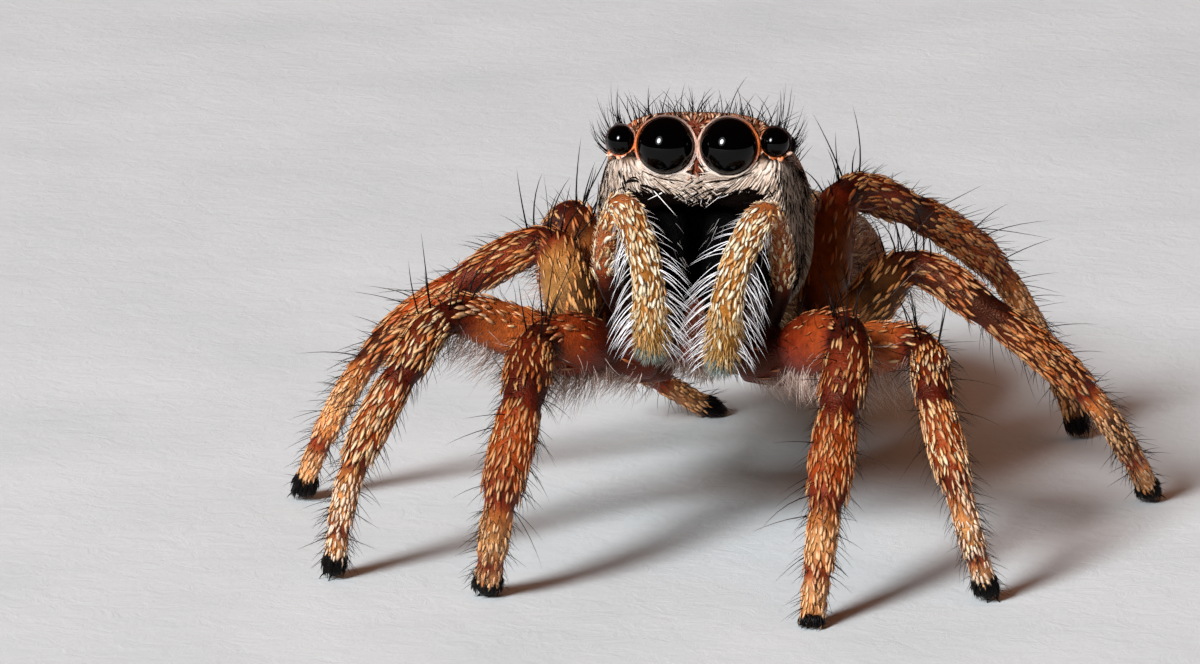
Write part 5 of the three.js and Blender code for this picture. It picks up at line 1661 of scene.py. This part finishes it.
def lock_share(head):
    """How many of the roots carry a lock: fewer far back, far down and near the mask's edge."""
    across, over_edge = np.abs(head[:, 0]), head[:, 2] - CLYPEUS_EDGE(np.abs(head[:, 0]))
    share = 0.97 - 0.45 * ramp(head[:, 1], 0.5, 1.3) - 0.25 * ramp(-head[:, 2], 0.9, 1.5)
    share = share - 0.45 * ramp(0.16 - over_edge, 0, 0.06) * (across < MASK_END)
    share = share * ((over_edge > BARE_RIM) | (across > MASK_END))
    share = share * (1 - 0.5 * ramp(over_edge, 0.16, 0.24) * (across < 0.9))
    return share * (1 - bare_spots(head))


roots, facing = rooted(is_face, LOCK_SPACING, rng)
head = to_head(roots)
kept = rng.random(len(roots)) < lock_share(head)
roots, facing, head = roots[kept], facing[kept], head[kept]
print("locks of the face:", len(roots))

# %% Locks of the face
face_hair = Strands(sides=4, steps=6, taper=lock_taper, flat=0.2)
across, n = np.abs(head[:, 0]), len(roots)
turned = rng.normal(0, 0.07, (n, 1)) + 0.10 * ramp(-head[:, 2], 0.38, 0.5)[:, None] * rng.normal(0, 1, (n, 1))
flow = unit(face_flow(roots) + turned * unit(np.cross(face_flow(roots), facing)))
length = np.where(across < MASK_END, rng.uniform(0.20, 0.34, n), rng.uniform(0.15, 0.27, n))
for _ in range(2):  # lays the locks, then again with those cut short that would hang below the edge
    lines = head_form.laid(roots, lambda p: flow, length, 6, rise=0.022)
    tips = to_head(lines)
    limit = CLYPEUS_EDGE(np.abs(tips[:, :, 0])) - MASK_FRINGE * rng.uniform(0.0, 1.1, (n, 1))
    inside = np.mean((tips[:, :, 2] > limit) | (across[:, None] > 0.76), axis=1)
    length = length * np.maximum(inside, 0.25)
lines = round_the_eyes(lines)
greyed = np.clip(ramp(head[:, 1], 0.3, 1.1) + 0.5 * ramp(-head[:, 2], 0.6, 1.3), 0, 0.75) * (across > 0.76)
colour = blend(picked(MASK_COLOURS, rng, n, 0.05), CHEEK_GREY, greyed)
width = LOCK_HALF_WIDTH * rng.uniform(0.7, 1.25, n) * (1 - 0.35 * ramp(head[:, 1], 0.6, 1.1))
hanging = ramp(0.20 - (head[:, 2] - CLYPEUS_EDGE(across)), 0, 0.12) * (across < MASK_END)
root_shade = (0.84 - 0.34 * hanging)[:, None]
face_hair.grow(lines, width * (1 - 0.3 * hanging), root_shade * colour, head_chart(roots),
               broad=across_lines(facing, lines), tip=1.03 * colour)
face_hair.finish("face_hair", hair_chitin, "head_fur")

# %% Dark slits between the locks: black skin and painted shade
SLIT_SPACING, SLIT_HALF_WIDTH, SLIT_SHADE = 0.048, 0.0125, linear("#0c0605")
gap_shade_chitin = setae("dull_dark_hair_chitin", 0.8, 0.0, 0.0, index=1.1)  # painted shade of a gap between locks: no gloss
slits = Strands(sides=3, steps=6, taper=lock_taper, flat=0.4)
roots, facing = rooted(is_face, SLIT_SPACING, rng, margin=0.05)
head = to_head(roots)
on_cheek = 0.14 + 0.24 * ramp(head[:, 1], 0.02, 0.35) + 0.12 * (head[:, 0] > 0)
on_mask = 0.15 + 0.8 * ramp(-head[:, 2], 0.36, 0.46)
kept = rng.random(len(roots)) < np.where(np.abs(head[:, 0]) < 0.74, on_mask, on_cheek)
roots, facing = roots[kept], facing[kept]
n, across = len(roots), np.abs(to_head(roots)[:, 0])
lines = head_form.laid(roots, face_flow, rng.uniform(0.06, 0.20, n), 6, lift=0.030, rise=0.010)
below = to_head(lines[:, -1])[:, 2] < CLYPEUS_EDGE(across) - MASK_FRINGE
kept = ~(below & (across < 0.74))
width = SLIT_HALF_WIDTH * rng.uniform(0.5, 1.3, n)
slits.grow(round_the_eyes(lines)[kept], width[kept], SLIT_SHADE, head_chart(roots)[kept],
           broad=across_lines(facing, lines)[kept])

# %% Creases of the mask: painted shade where the locks part
CREASES_ON_BOTH_SIDES, CREASE_POINTS, CREASE_WIDENING, CREASE_LIFT = 3, 7, 1.7, 0.036
CREASES = [  # places across and up on the head, and half the width
    (((0.53, -0.25), (0.41, -0.305), (0.28, -0.335), (0.16, -0.34), (0.05, -0.37)), 0.0085),
    (((0.38, -0.35), (0.31, -0.41), (0.24, -0.46), (0.18, -0.53)), 0.0065),
    (((0.35, -0.44), (0.30, -0.48), (0.24, -0.515)), 0.0080),
    (((-0.71, -0.37), (-0.66, -0.350), (-0.61, -0.345), (-0.55, -0.358)), 0.0160),
    (((-0.655, -0.325), (-0.60, -0.312), (-0.54, -0.350)), 0.0080),
    (((-0.77, -0.43), (-0.74, -0.415), (-0.70, -0.408)), 0.0130),
    (((-0.55, -0.39), (-0.48, -0.402), (-0.41, -0.435), (-0.37, -0.46)), 0.0140),
    (((-0.69, -0.452), (-0.66, -0.458)), 0.0090), (((-0.84, -0.50), (-0.865, -0.58)), 0.0095),
    (((-0.797, -0.34), (-0.80, -0.46)), 0.0055), (((-0.855, -0.24), (-0.846, -0.30)), 0.0080),
    (((0.76, -0.26), (0.78, -0.34), (0.79, -0.42)), 0.0100), (((0.86, -0.22), (0.88, -0.33)), 0.0090),
    (((0.83, -0.42), (0.86, -0.52), (0.88, -0.60)), 0.0090), (((0.70, -0.42), (0.76, -0.50)), 0.0090),
    (((0.60, -0.44), (0.52, -0.42), (0.44, -0.43)), 0.0100), (((0.93, -0.40), (0.96, -0.52)), 0.0080),
]
ahead = turn_from_head([0.0, 1.0, 0.0])
for number, (places, half_width) in enumerate(CREASES):
    for side in (1, -1)[:2 if number < CREASES_ON_BOTH_SIDES else 1]:
        drawn = np.array(places) * (side, 1)
        walked = np.append(0, np.cumsum(np.linalg.norm(np.diff(drawn, axis=0), axis=1)))
        even = np.linspace(0, walked[-1], CREASE_POINTS)
        points = []
        for x, z in zip(np.interp(even, walked, drawn[:, 0]), np.interp(even, walked, drawn[:, 1])):
            hit = head_form.tree.ray_cast(Vector(from_head([x, -1.5, z])), Vector(ahead))[0]
            points.append(np.array(hit) - CREASE_LIFT * ahead)
        lines = np.array([points])
        slits.grow(lines, CREASE_WIDENING * half_width, SLIT_SHADE, head_chart(lines[:, 0]),
                   broad=turn_from_head([[0.5, 0, 0.86]]))
slits.finish("face_slits", gap_shade_chitin, "head_fur")

# %% Long white hairs over the jaws
WHISKERS = [  # root across and up on the head, heading in degrees from level, length, half-width
    (-0.48, -0.41, -47, 0.46, 0.0115), (-0.34, -0.53, -152, 0.17, 0.010), (-0.52, -0.50, 12, 0.17, 0.008),
    (0.28, -0.52, -140, 0.26, 0.006), (0.16, -0.53, -118, 0.14, 0.007), (-0.12, -0.54, -75, 0.12, 0.007),
    (0.06, -0.55, -100, 0.11, 0.006), (0.42, -0.50, -158, 0.22, 0.006),
]
WHISKER_WHITE = linear("#f4efe8")
whisker = Strands(steps=6)
sag = turn_from_head([[0.0, -0.01, 0.0]])
for across, height, heading, length, thick in WHISKERS:
    root, _, _, _ = head_form.tree.find_nearest(Vector(from_head([across, -0.2, height])))
    roots, heading = np.array([root]), math.radians(heading)
    towards = turn_from_head([[math.cos(heading), -0.22, math.sin(heading)]])
    whisker.stand(roots, towards, [length], sag, thick, WHISKER_WHITE, head_chart(roots))

# %% Fine grey hairs on the jaws
JAW_HAIRS, JAW_HAIR_HALF_WIDTH, JAW_PALE, JAW_GREY = 30, 0.0032, linear("#e0dad2"), linear("#4a4440")
JAW_HAIR_REACH = (0.215, 0.225, 0)  # from the jaw's middle line to its surface
for side in SIDES.values():
    across, height = rng.uniform(0.06, 0.42, JAW_HAIRS), rng.uniform(-1.6, -0.72, JAW_HAIRS)
    middle = np.stack([side * JAW_X + 0 * across, JAW_Y + 0 * across, height], axis=-1)
    facing = unit(np.stack([side * (across - JAW_X), -0.2 + 0 * across, 0 * across], axis=-1))
    roots = from_head(middle + facing * JAW_HAIR_REACH)
    towards = turn_from_head(facing * 0.6 + [-0.25 * side, 0, -0.8] + rng.normal(0, 0.2, (JAW_HAIRS, 3)))
    length = rng.uniform(0.04, 0.15, JAW_HAIRS)
    colour = blend(JAW_PALE, JAW_GREY, rng.random(JAW_HAIRS) ** 0.5)
    bend = 0.2 * length[:, None] * turn_from_head([0, 0, -1])
    whisker.stand(roots, towards, length, bend, JAW_HAIR_HALF_WIDTH, colour, head_chart(roots))
whisker.finish("whiskers", hair_chitin, "head_fur")

# %% [markdown]
# ## Rims of the eyes
# Every eye sits in a thin rim of bright scales: orange on the outer side, cream-pink below and
# between the front eyes, and dark above. A thin ring made by spinning a small circle closes the
# socket, and fine scales laid around it in a narrow band make the rim fibrous. Under each side
# eye stands a row of short stout scales like beads.

# %% Rims
RIMS = {  # ring radius, half-thickness, how far the ring lies in front of the eye's middle
    "front_middle": (0.286, 0.0060, 0.040), "front_side": (0.149, 0.0045, 0.030),
    "small": (0.067, 0.004, 0.020), "rear": (0.128, 0.006, 0.020),
}
RIM_ORANGE, RIM_RUST, RIM_PINK, RIM_CREAM, RIM_DARK = (
    linear(c) for c in ("#dc6c22", "#8a3c1a", "#e6b8a0", "#f2e6da", "#2a120a"))


def rim_colour(pair, turn):
    """Colour around a rim; turn counts from the outer side of the head over its top."""
    outer, upper = np.cos(turn), np.sin(turn)
    if pair == "front_middle":
        colour = blend(RIM_PINK, RIM_ORANGE, ramp(outer, 0.1, 0.8))
        colour = blend(colour, RIM_CREAM, ramp(-upper, 0.3, 0.8))
        return blend(colour, RIM_DARK, 0.75 * ramp(upper, 0.35, 0.85))
    if pair == "front_side":
        return blend(RIM_DARK, RIM_ORANGE, ramp(-0.7 * outer - 0.7 * upper, 0.1, 0.8))
    return blend(RIM_DARK, RIM_RUST, ramp(-upper, 0.0, 0.8))


# %% Fibres and beads of the rims
RIM_FIBRES, RIM_FIBRE_HALF_WIDTH, RIM_WIDTH, RIM_INNER_WIDTH = 1300, 0.0058, 0.014, 0.018
BEADS, BEAD_COLOURS = 7, ("#e07a38", "#f0a880", "#d86a2c", "#f4cbb0")
rim_material = setae("bright_rim_scales", 0.38, 0.1, 0.1)  # smooth and bright: a soft gloss on orange
rim_scales = Strands(sides=4, steps=6, taper=lock_taper, flat=0.6)
beads = Strands(sides=6, steps=5, taper=scale_taper, flat=0.6, sink=0.01)


class Rim:
    """The ring round one eye, in the head's frame."""

    def __init__(self, pair, side, middle):
        self.pair, self.look = pair, looking(pair, side)
        self.radius, self.thick, forward = RIMS[pair]
        self.level = unit(np.cross(self.look, (0, 0, 1))) * -side
        upper = np.cross(self.level, self.look) * side
        self.upper = unit(upper) * np.sign(upper[2])
        self.centre = middle + self.look * forward

    def place(self, turn, radius, ahead):
        """Places round the rim; turn counts from the outer side of the head over its top."""
        outwards = np.cos(turn)[:, None] * self.level + np.sin(turn)[:, None] * self.upper
        return self.centre + radius[:, None] * outwards + ahead[:, None] * self.look


def grow_fibres(rim):
    """Fine scales laid around a rim, in a band that is wider below and inside the front eyes."""
    count = int(RIM_FIBRES * rim.radius)
    start = rng.uniform(0, 2 * np.pi, count)
    layer = rng.uniform(-0.1, 1.0, count)  # 0 at the lens, 1 at the outer edge of the rim
    arc = rng.choice([-1, 1], count) * rng.uniform(0.06, 0.17, count) / rim.radius
    f = np.linspace(0, 1, rim_scales.steps + 1)
    turn = start[:, None] + arc[:, None] * f
    inner = ramp(-0.6 * np.cos(start) - 0.8 * np.sin(start), 0.5, 0.9) * (rim.pair == "front_middle")
    radius = rim.radius + (RIM_WIDTH + RIM_INNER_WIDTH * inner) * layer
    ahead = 0.006 - 0.012 * layer + rng.uniform(-0.002, 0.003, count)
    lines = from_head(np.stack([
        rim.place(turn[:, k], radius + 0.006 * f[k], ahead + 0.004 * f[k]) for k in range(len(f))], axis=1))
    colour = rim_colour(rim.pair, start) * rng.uniform(0.75, 1.2, (count, 1))
    colour = np.where(rng.random((count, 1)) < 0.04, RIM_DARK, colour)
    # painted shade: each fibre is darker at its root, where the others overlap it
    rim_scales.grow(lines, RIM_FIBRE_HALF_WIDTH * rng.uniform(0.7, 1.3, count), 0.8 * colour,
                    head_chart(lines[:, 0]), tip=colour)


def grow_beads(rim):
    """A row of short stout scales under a side eye."""
    turn = np.linspace(-2.7, -0.75, BEADS) + rng.normal(0, 0.04, BEADS)
    none = 0 * turn
    spot = rim.place(turn, rim.radius + 0.014 + none, 0.01 + none)
    away = rim.place(turn + 0.35 * rng.choice([-1, 1], BEADS), rim.radius + 0.08 + none, none) - spot
    colour = picked(BEAD_COLOURS, rng, BEADS, 0.1)
    roots, towards = from_head(spot), turn_from_head(away)
    lines = beads.free(roots, towards, rng.uniform(0.05, 0.075, BEADS))
    # painted shade: each bead is darker at its root, where it meets the skin
    beads.grow(lines, rng.uniform(0.017, 0.023, BEADS), 0.6 * colour, head_chart(roots),
               broad=turn_from_head(np.cross(away, rim.look)), tip=colour)


# %% Rings of the rims
RING_SIDES, RING_STEPS, RING_SHADE = 10, 64, 0.75


def ring_mesh(radius, thick):
    """A ring round Z: a small circle spun all the way round."""
    ring = bmesh.new()
    bmesh.ops.create_circle(ring, segments=RING_SIDES, radius=thick)
    bmesh.ops.translate(ring, verts=ring.verts, vec=(radius, 0, 0))
    upright = Matrix.Rotation(math.pi / 2, 3, "X")
    bmesh.ops.rotate(ring, verts=ring.verts, cent=(radius, 0, 0), matrix=upright)
    bmesh.ops.spin(ring, geom=list(ring.verts) + list(ring.edges), axis=(0, 0, 1), cent=(0, 0, 0),
                   steps=RING_STEPS, angle=2 * math.pi, use_merge=True)
    bmesh.ops.recalc_face_normals(ring, faces=ring.faces)
    return ring


for pair, side_name, side, centre, _ in EYE_PLACES:
    rim = Rim(pair, side, centre)
    grow_fibres(rim)
    if pair == "front_side":
        grow_beads(rim)
    basis = np.array([rim.level, rim.upper, rim.look])
    piece = mesh_object(f"eye_rim_{pair}_{side_name}", ring_mesh(rim.radius, rim.thick))
    x, y, _ = vertex_places(piece.data).T
    colour_vertices(piece.data, "Colour", RING_SHADE * rim_colour(pair, np.arctan2(y, x)))
    move_vertices(piece.data, lambda p: to_frame(from_head(rim.centre + p @ basis)))
    dress(piece, rim_material, "head_fur")
rim_scales.finish("eye_rim_scales", rim_material, "head_fur")
beads.finish("eye_rim_beads", rim_material, "head_fur")

# %% [markdown]
# ## Top of the head
# Behind the front eyes the head is paved with short scales of mixed browns, with orange ones
# in patches next to the side eyes. Further back they give way to dark brown hair that lies
# towards the abdomen.

# %% Lie of the coat on the head
def backwards(places):
    """The lie of the coat on head and thorax: back, and down on the flanks."""
    head = to_head(places)
    flank = ramp(-head[:, 2], -0.1, 0.5)
    swirl = 0.9 * (speckle(places, 4, 43) - 0.5)
    aside = 0.25 * np.sign(head[:, 0]) * flank + swirl
    return turn_from_head(np.stack([aside, 1 + 0 * flank, -0.7 * flank], axis=-1))


def eye_distance(places, pair):
    """Distance from the middle of the nearer eye of a pair."""
    head = to_head(places)
    centres = [centre for this, _, _, centre, _ in EYE_PLACES if this == pair]
    return np.min([np.linalg.norm(head - centre, axis=-1) for centre in centres], axis=0)


def is_crown(places):
    """The top of the head, with the strip between the front eyes."""
    x, y, z = np.moveaxis(to_head(places), -1, 0)
    between_eyes = (np.abs(x) < 0.13) & (y < 0.3)
    in_front = (z > np.where(np.abs(x) > 0.5, -0.06, -0.16)) | (between_eyes & (z > -0.28))
    return ~is_face(places) & (y < 2.0) & (in_front | ((y > 0.3) & (z > -0.25)))


# %% Scales of the head
HEAD_SCALE_SPACING, HEAD_SCALE_HALF_WIDTH = 0.028, 0.0140
CROWN_COLOURS = ("#b98a6c", "#9c6446", "#7a4a30", "#d9b898", "#b0714a", "#4a2c1c")
CROWN_DARK, CROWN_ORANGE = ("#2e1a10", "#3c2012"), ("#b8501c", "#cc6e34", "#dc9a68", "#943a12")
head_scales = Strands(sides=3, steps=3, taper=scale_taper, flat=0.45, sink=0.01)
roots, facing = rooted(is_crown, HEAD_SCALE_SPACING, rng)
n = len(roots)
colour = picked(CROWN_COLOURS, rng, n, 0.2)
colour = sprinkled(colour, 0.7 * (speckle(roots, 5, 47) > 0.56), CROWN_DARK, rng)
near_side_eye = 1 - ramp(eye_distance(roots, "front_side"), 0.20, 0.32)
orange = (0.5 * ramp(0.1 - to_head(roots)[:, 2], 0, 0.12) + 0.3) * near_side_eye
colour = sprinkled(colour, orange, CROWN_ORANGE, rng)
flow = backwards(roots)
flow = flow + rng.normal(0, 0.45, (n, 1)) * np.cross(flow, facing)
lines = head_ground.laid(roots, lambda p: flow, rng.uniform(0.07, 0.12, n), 3, lift=0.014, rise=0.022)
lines = round_the_eyes(lines)
head_scales.grow(lines, HEAD_SCALE_HALF_WIDTH * rng.uniform(0.7, 1.2, n), colour, head_chart(roots),
                 broad=across_lines(facing, lines))
head_scales.finish("head_scales", scale_chitin, "head_fur")

# %% Hair of the thorax
THORAX_SPACING, THORAX_HALF_WIDTH = 0.042, 0.0085
THORAX_COLOURS, THORAX_PALE = ("#5a3a24", "#7a5436", "#38220f", "#a07c56"), ("#d8c8b0", "#b8a288")
thorax_hair = Strands()


def is_thorax(places):
    """What is left of the carapace behind face and crown, without the mouth's hollow."""
    x, y, z = np.moveaxis(to_head(places), -1, 0)
    in_mouth = (np.abs(x) < MOUTH_HALF_WIDTH + 0.04) & (y < MOUTH_FRONT + MOUTH_LENGTH + 0.08) & (z < -0.4)
    return ~is_face(places) & ~is_crown(places) & (y > 0.35) & ~in_mouth


roots, facing = rooted(is_thorax, THORAX_SPACING, rng)
n = len(roots)
depth = -to_head(roots)[:, 2]
colour = picked(THORAX_COLOURS, rng, n, 0.2)
pale_band = ramp(depth, 0.2, 0.5) * ramp(depth, -1.4, -0.9)
colour = sprinkled(colour, 0.5 * pale_band, THORAX_PALE, rng)
flow = backwards(roots)
lines = head_ground.laid(roots, lambda p: flow, rng.uniform(0.12, 0.22, n), 4, rise=0.045)
thorax_hair.grow(lines, THORAX_HALF_WIDTH, colour, head_chart(roots))
thorax_hair.finish("thorax_hair", hair_chitin, "head_fur")

# %% [markdown]
# ## Crest and lashes
# Thin black bristles stand up from the edge over the eyes like a crest, each bent its own way,
# and a fan of them curves up like lashes outside each side eye.

# %% Crest
crest = Strands(steps=7)


def is_crest(places):
    """The edge over the eyes."""
    _, y, z = np.moveaxis(to_head(places), -1, 0)
    return (z > 0.10) & (y < 0.62)


def is_crown_back(places):
    """The back of the head and the top of the thorax."""
    _, y, z = np.moveaxis(to_head(places), -1, 0)
    return (z > -0.1) & (y > 0.5) & (y < 2.9)


CREST_ROWS = (  # where, spacing, shortest and longest
    (is_crest, 0.12, 0.10, 0.22), (is_crest, 0.165, 0.24, 0.44), (is_crown_back, 0.20, 0.12, 0.30))
for where, spacing, shortest, longest in CREST_ROWS:
    roots, facing = rooted(where, spacing, rng)
    n = len(roots)
    side = to_head(roots)[:, 0]
    length = rng.uniform(shortest, longest, n)
    upright = turn_from_head(np.stack([0.45 * side, rng.normal(-0.1, 0.25, n), np.ones(n)], axis=-1))
    heading = unit(0.5 * facing + upright + turn_from_head(rng.normal(0, 0.28, (n, 3))))
    bend = length[:, None] * turn_from_head(rng.normal(0, (0.34, 0.2, 0.08), (n, 3)))
    crest.stand(roots, heading, length, bend, 0.0050 + 0.007 * length, BLACK, head_chart(roots))

# %% Lashes
LASHES, LASH_DISTANCE = 30, 0.19  # from the eye's middle
side_eyes = [(side, centre) for pair, _, side, centre, _ in EYE_PLACES if pair == "front_side"]
for side, eye in side_eyes:
    turn = np.linspace(-0.95, 1.25, LASHES) + rng.normal(0, 0.06, LASHES)
    out_there = np.stack([side * np.cos(turn), rng.uniform(0.1, 1.1, LASHES), np.sin(turn)], axis=-1)
    spot = from_head(eye + (0, 0.10, 0) + LASH_DISTANCE * unit(out_there))
    roots = np.array([head_ground.tree.find_nearest(Vector(place))[0] for place in spot])
    length = rng.uniform(0.18, 0.38, LASHES)
    start = np.stack([
        side * (0.9 - 0.4 * ramp(turn, 0, 1)), rng.normal(-0.1, 0.2, LASHES),
        0.15 + 0.7 * ramp(turn, -0.2, 1)], axis=-1)
    curl = np.stack([
        -0.35 * side * rng.uniform(0.4, 1.2, LASHES), rng.normal(0, 0.1, LASHES),
        rng.uniform(0.5, 0.85, LASHES)], axis=-1)
    bend = length[:, None] * turn_from_head(curl)
    crest.stand(roots, turn_from_head(start), length, bend, rng.uniform(0.0058, 0.0078, LASHES), BLACK,
                head_chart(roots))
crest.finish("crest", bristle_chitin, "head_fur")

# %% [markdown]
# ## Abdomen
# Short hair lies back over the abdomen like the fur of a mouse. It carries the dark leaf and
# the pale chevrons of the skin below, and long black bristles stand between it.

# %% Fur of the abdomen
FUR_SPACING, FUR_HALF_WIDTH = 0.0495, 0.0092
FUR_COLOURS = ("#8a5a34", "#a5744a", "#6e4426", "#b98c5c")
FUR_DARK, FUR_PALE = ("#2c170c", "#3e2414", "#1c0f08"), ("#e3c796", "#d3ab74", "#f0dfbe")
abdomen_ground = Ground(*skin_part("abdomen", "spinnerets"))
abdomen_fur = Strands(steps=3)
BACK = turn_from_abdomen([0, 1, -0.1])


def on_abdomen(places):
    """f along the abdomen and the angle around it, for places in the spider's frame."""
    x, y, z = np.moveaxis((np.asarray(places) - ABDOMEN_FRONT) @ ABDOMEN_AXES, -1, 0)
    f = np.clip((y - abdomen.inset) / (ABDOMEN_LENGTH - 2 * abdomen.inset), 0, 1)
    return f, np.arctan2(x, z - (abdomen.top(f) + abdomen.bottom(f)) / 2)


def anywhere(places):
    return np.ones(len(places), bool)


roots, facing = abdomen_ground.scattered(anywhere, FUR_SPACING, rng)
n = len(roots)
f, angle = on_abdomen(roots)
dark, pale = abdomen_pattern(f, angle)
colour = sprinkled(picked(FUR_COLOURS, rng, n, 0.15), 0.9 * dark, FUR_DARK, rng)
colour = sprinkled(colour, 0.85 * pale, FUR_PALE, rng)
turned = rng.normal(0, 0.28, (n, 1)) + 0.8 * (speckle(roots, 6, 61) - 0.5)[:, None]
flow = BACK + turned * np.cross(BACK, facing) + 0.25 * facing
lines = abdomen_ground.laid(roots, lambda p: flow, rng.uniform(0.12, 0.21, n), 3, rise=0.05)
abdomen_fur.grow(lines, FUR_HALF_WIDTH, colour, chart("abdomen", 0.5 + angle / (2 * np.pi), f))
abdomen_fur.finish("abdomen_hair", hair_chitin, "abdomen_fur")

# %% Bristles of the abdomen
ABDOMEN_BRISTLE_SPACING, ABDOMEN_BRISTLE_HALF_WIDTH = 0.24, 0.0068
roots, facing = abdomen_ground.scattered(anywhere, ABDOMEN_BRISTLE_SPACING, rng)
n = len(roots)
f, angle = on_abdomen(roots)
length = rng.uniform(0.16, 0.34, n)
heading = unit(facing + 1.1 * BACK + rng.normal(0, 0.2, (n, 3)))
abdomen_bristles = Strands(steps=5)
abdomen_bristles.stand(
    roots, heading, length, 0.25 * length[:, None] * BACK, ABDOMEN_BRISTLE_HALF_WIDTH, BLACK,
    chart("abdomen", 0.5 + angle / (2 * np.pi), f))
abdomen_bristles.finish("abdomen_bristles", bristle_chitin, "abdomen_fur")

# %% Hair of the underside
UNDER_SPACING, UNDER_HALF_WIDTH, UNDER_COLOURS = 0.055, 0.0052, ("#cbbcae", "#9c8270", "#6e5040")
under_ground = Ground(*skin_part("under"))
roots, facing = under_ground.scattered(lambda p: to_head(p)[:, 2] < -1.5, UNDER_SPACING, rng)
n = len(roots)
head = to_head(roots)
under_hair = Strands()
length = rng.uniform(0.10, 0.20, n)
heading = unit(facing + turn_from_head([0, 0.8, 0]) + rng.normal(0, 0.25, (n, 3)))
under_hair.stand(roots, heading, length, 0, UNDER_HALF_WIDTH, picked(UNDER_COLOURS, rng, n),
                 chart("under", 0.5 + head[:, 0] / 2.2, head[:, 1] / CARAPACE_LENGTH))
under_hair.finish("underside_hair", hair_chitin, "underside")

# %% Finish
low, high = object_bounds()
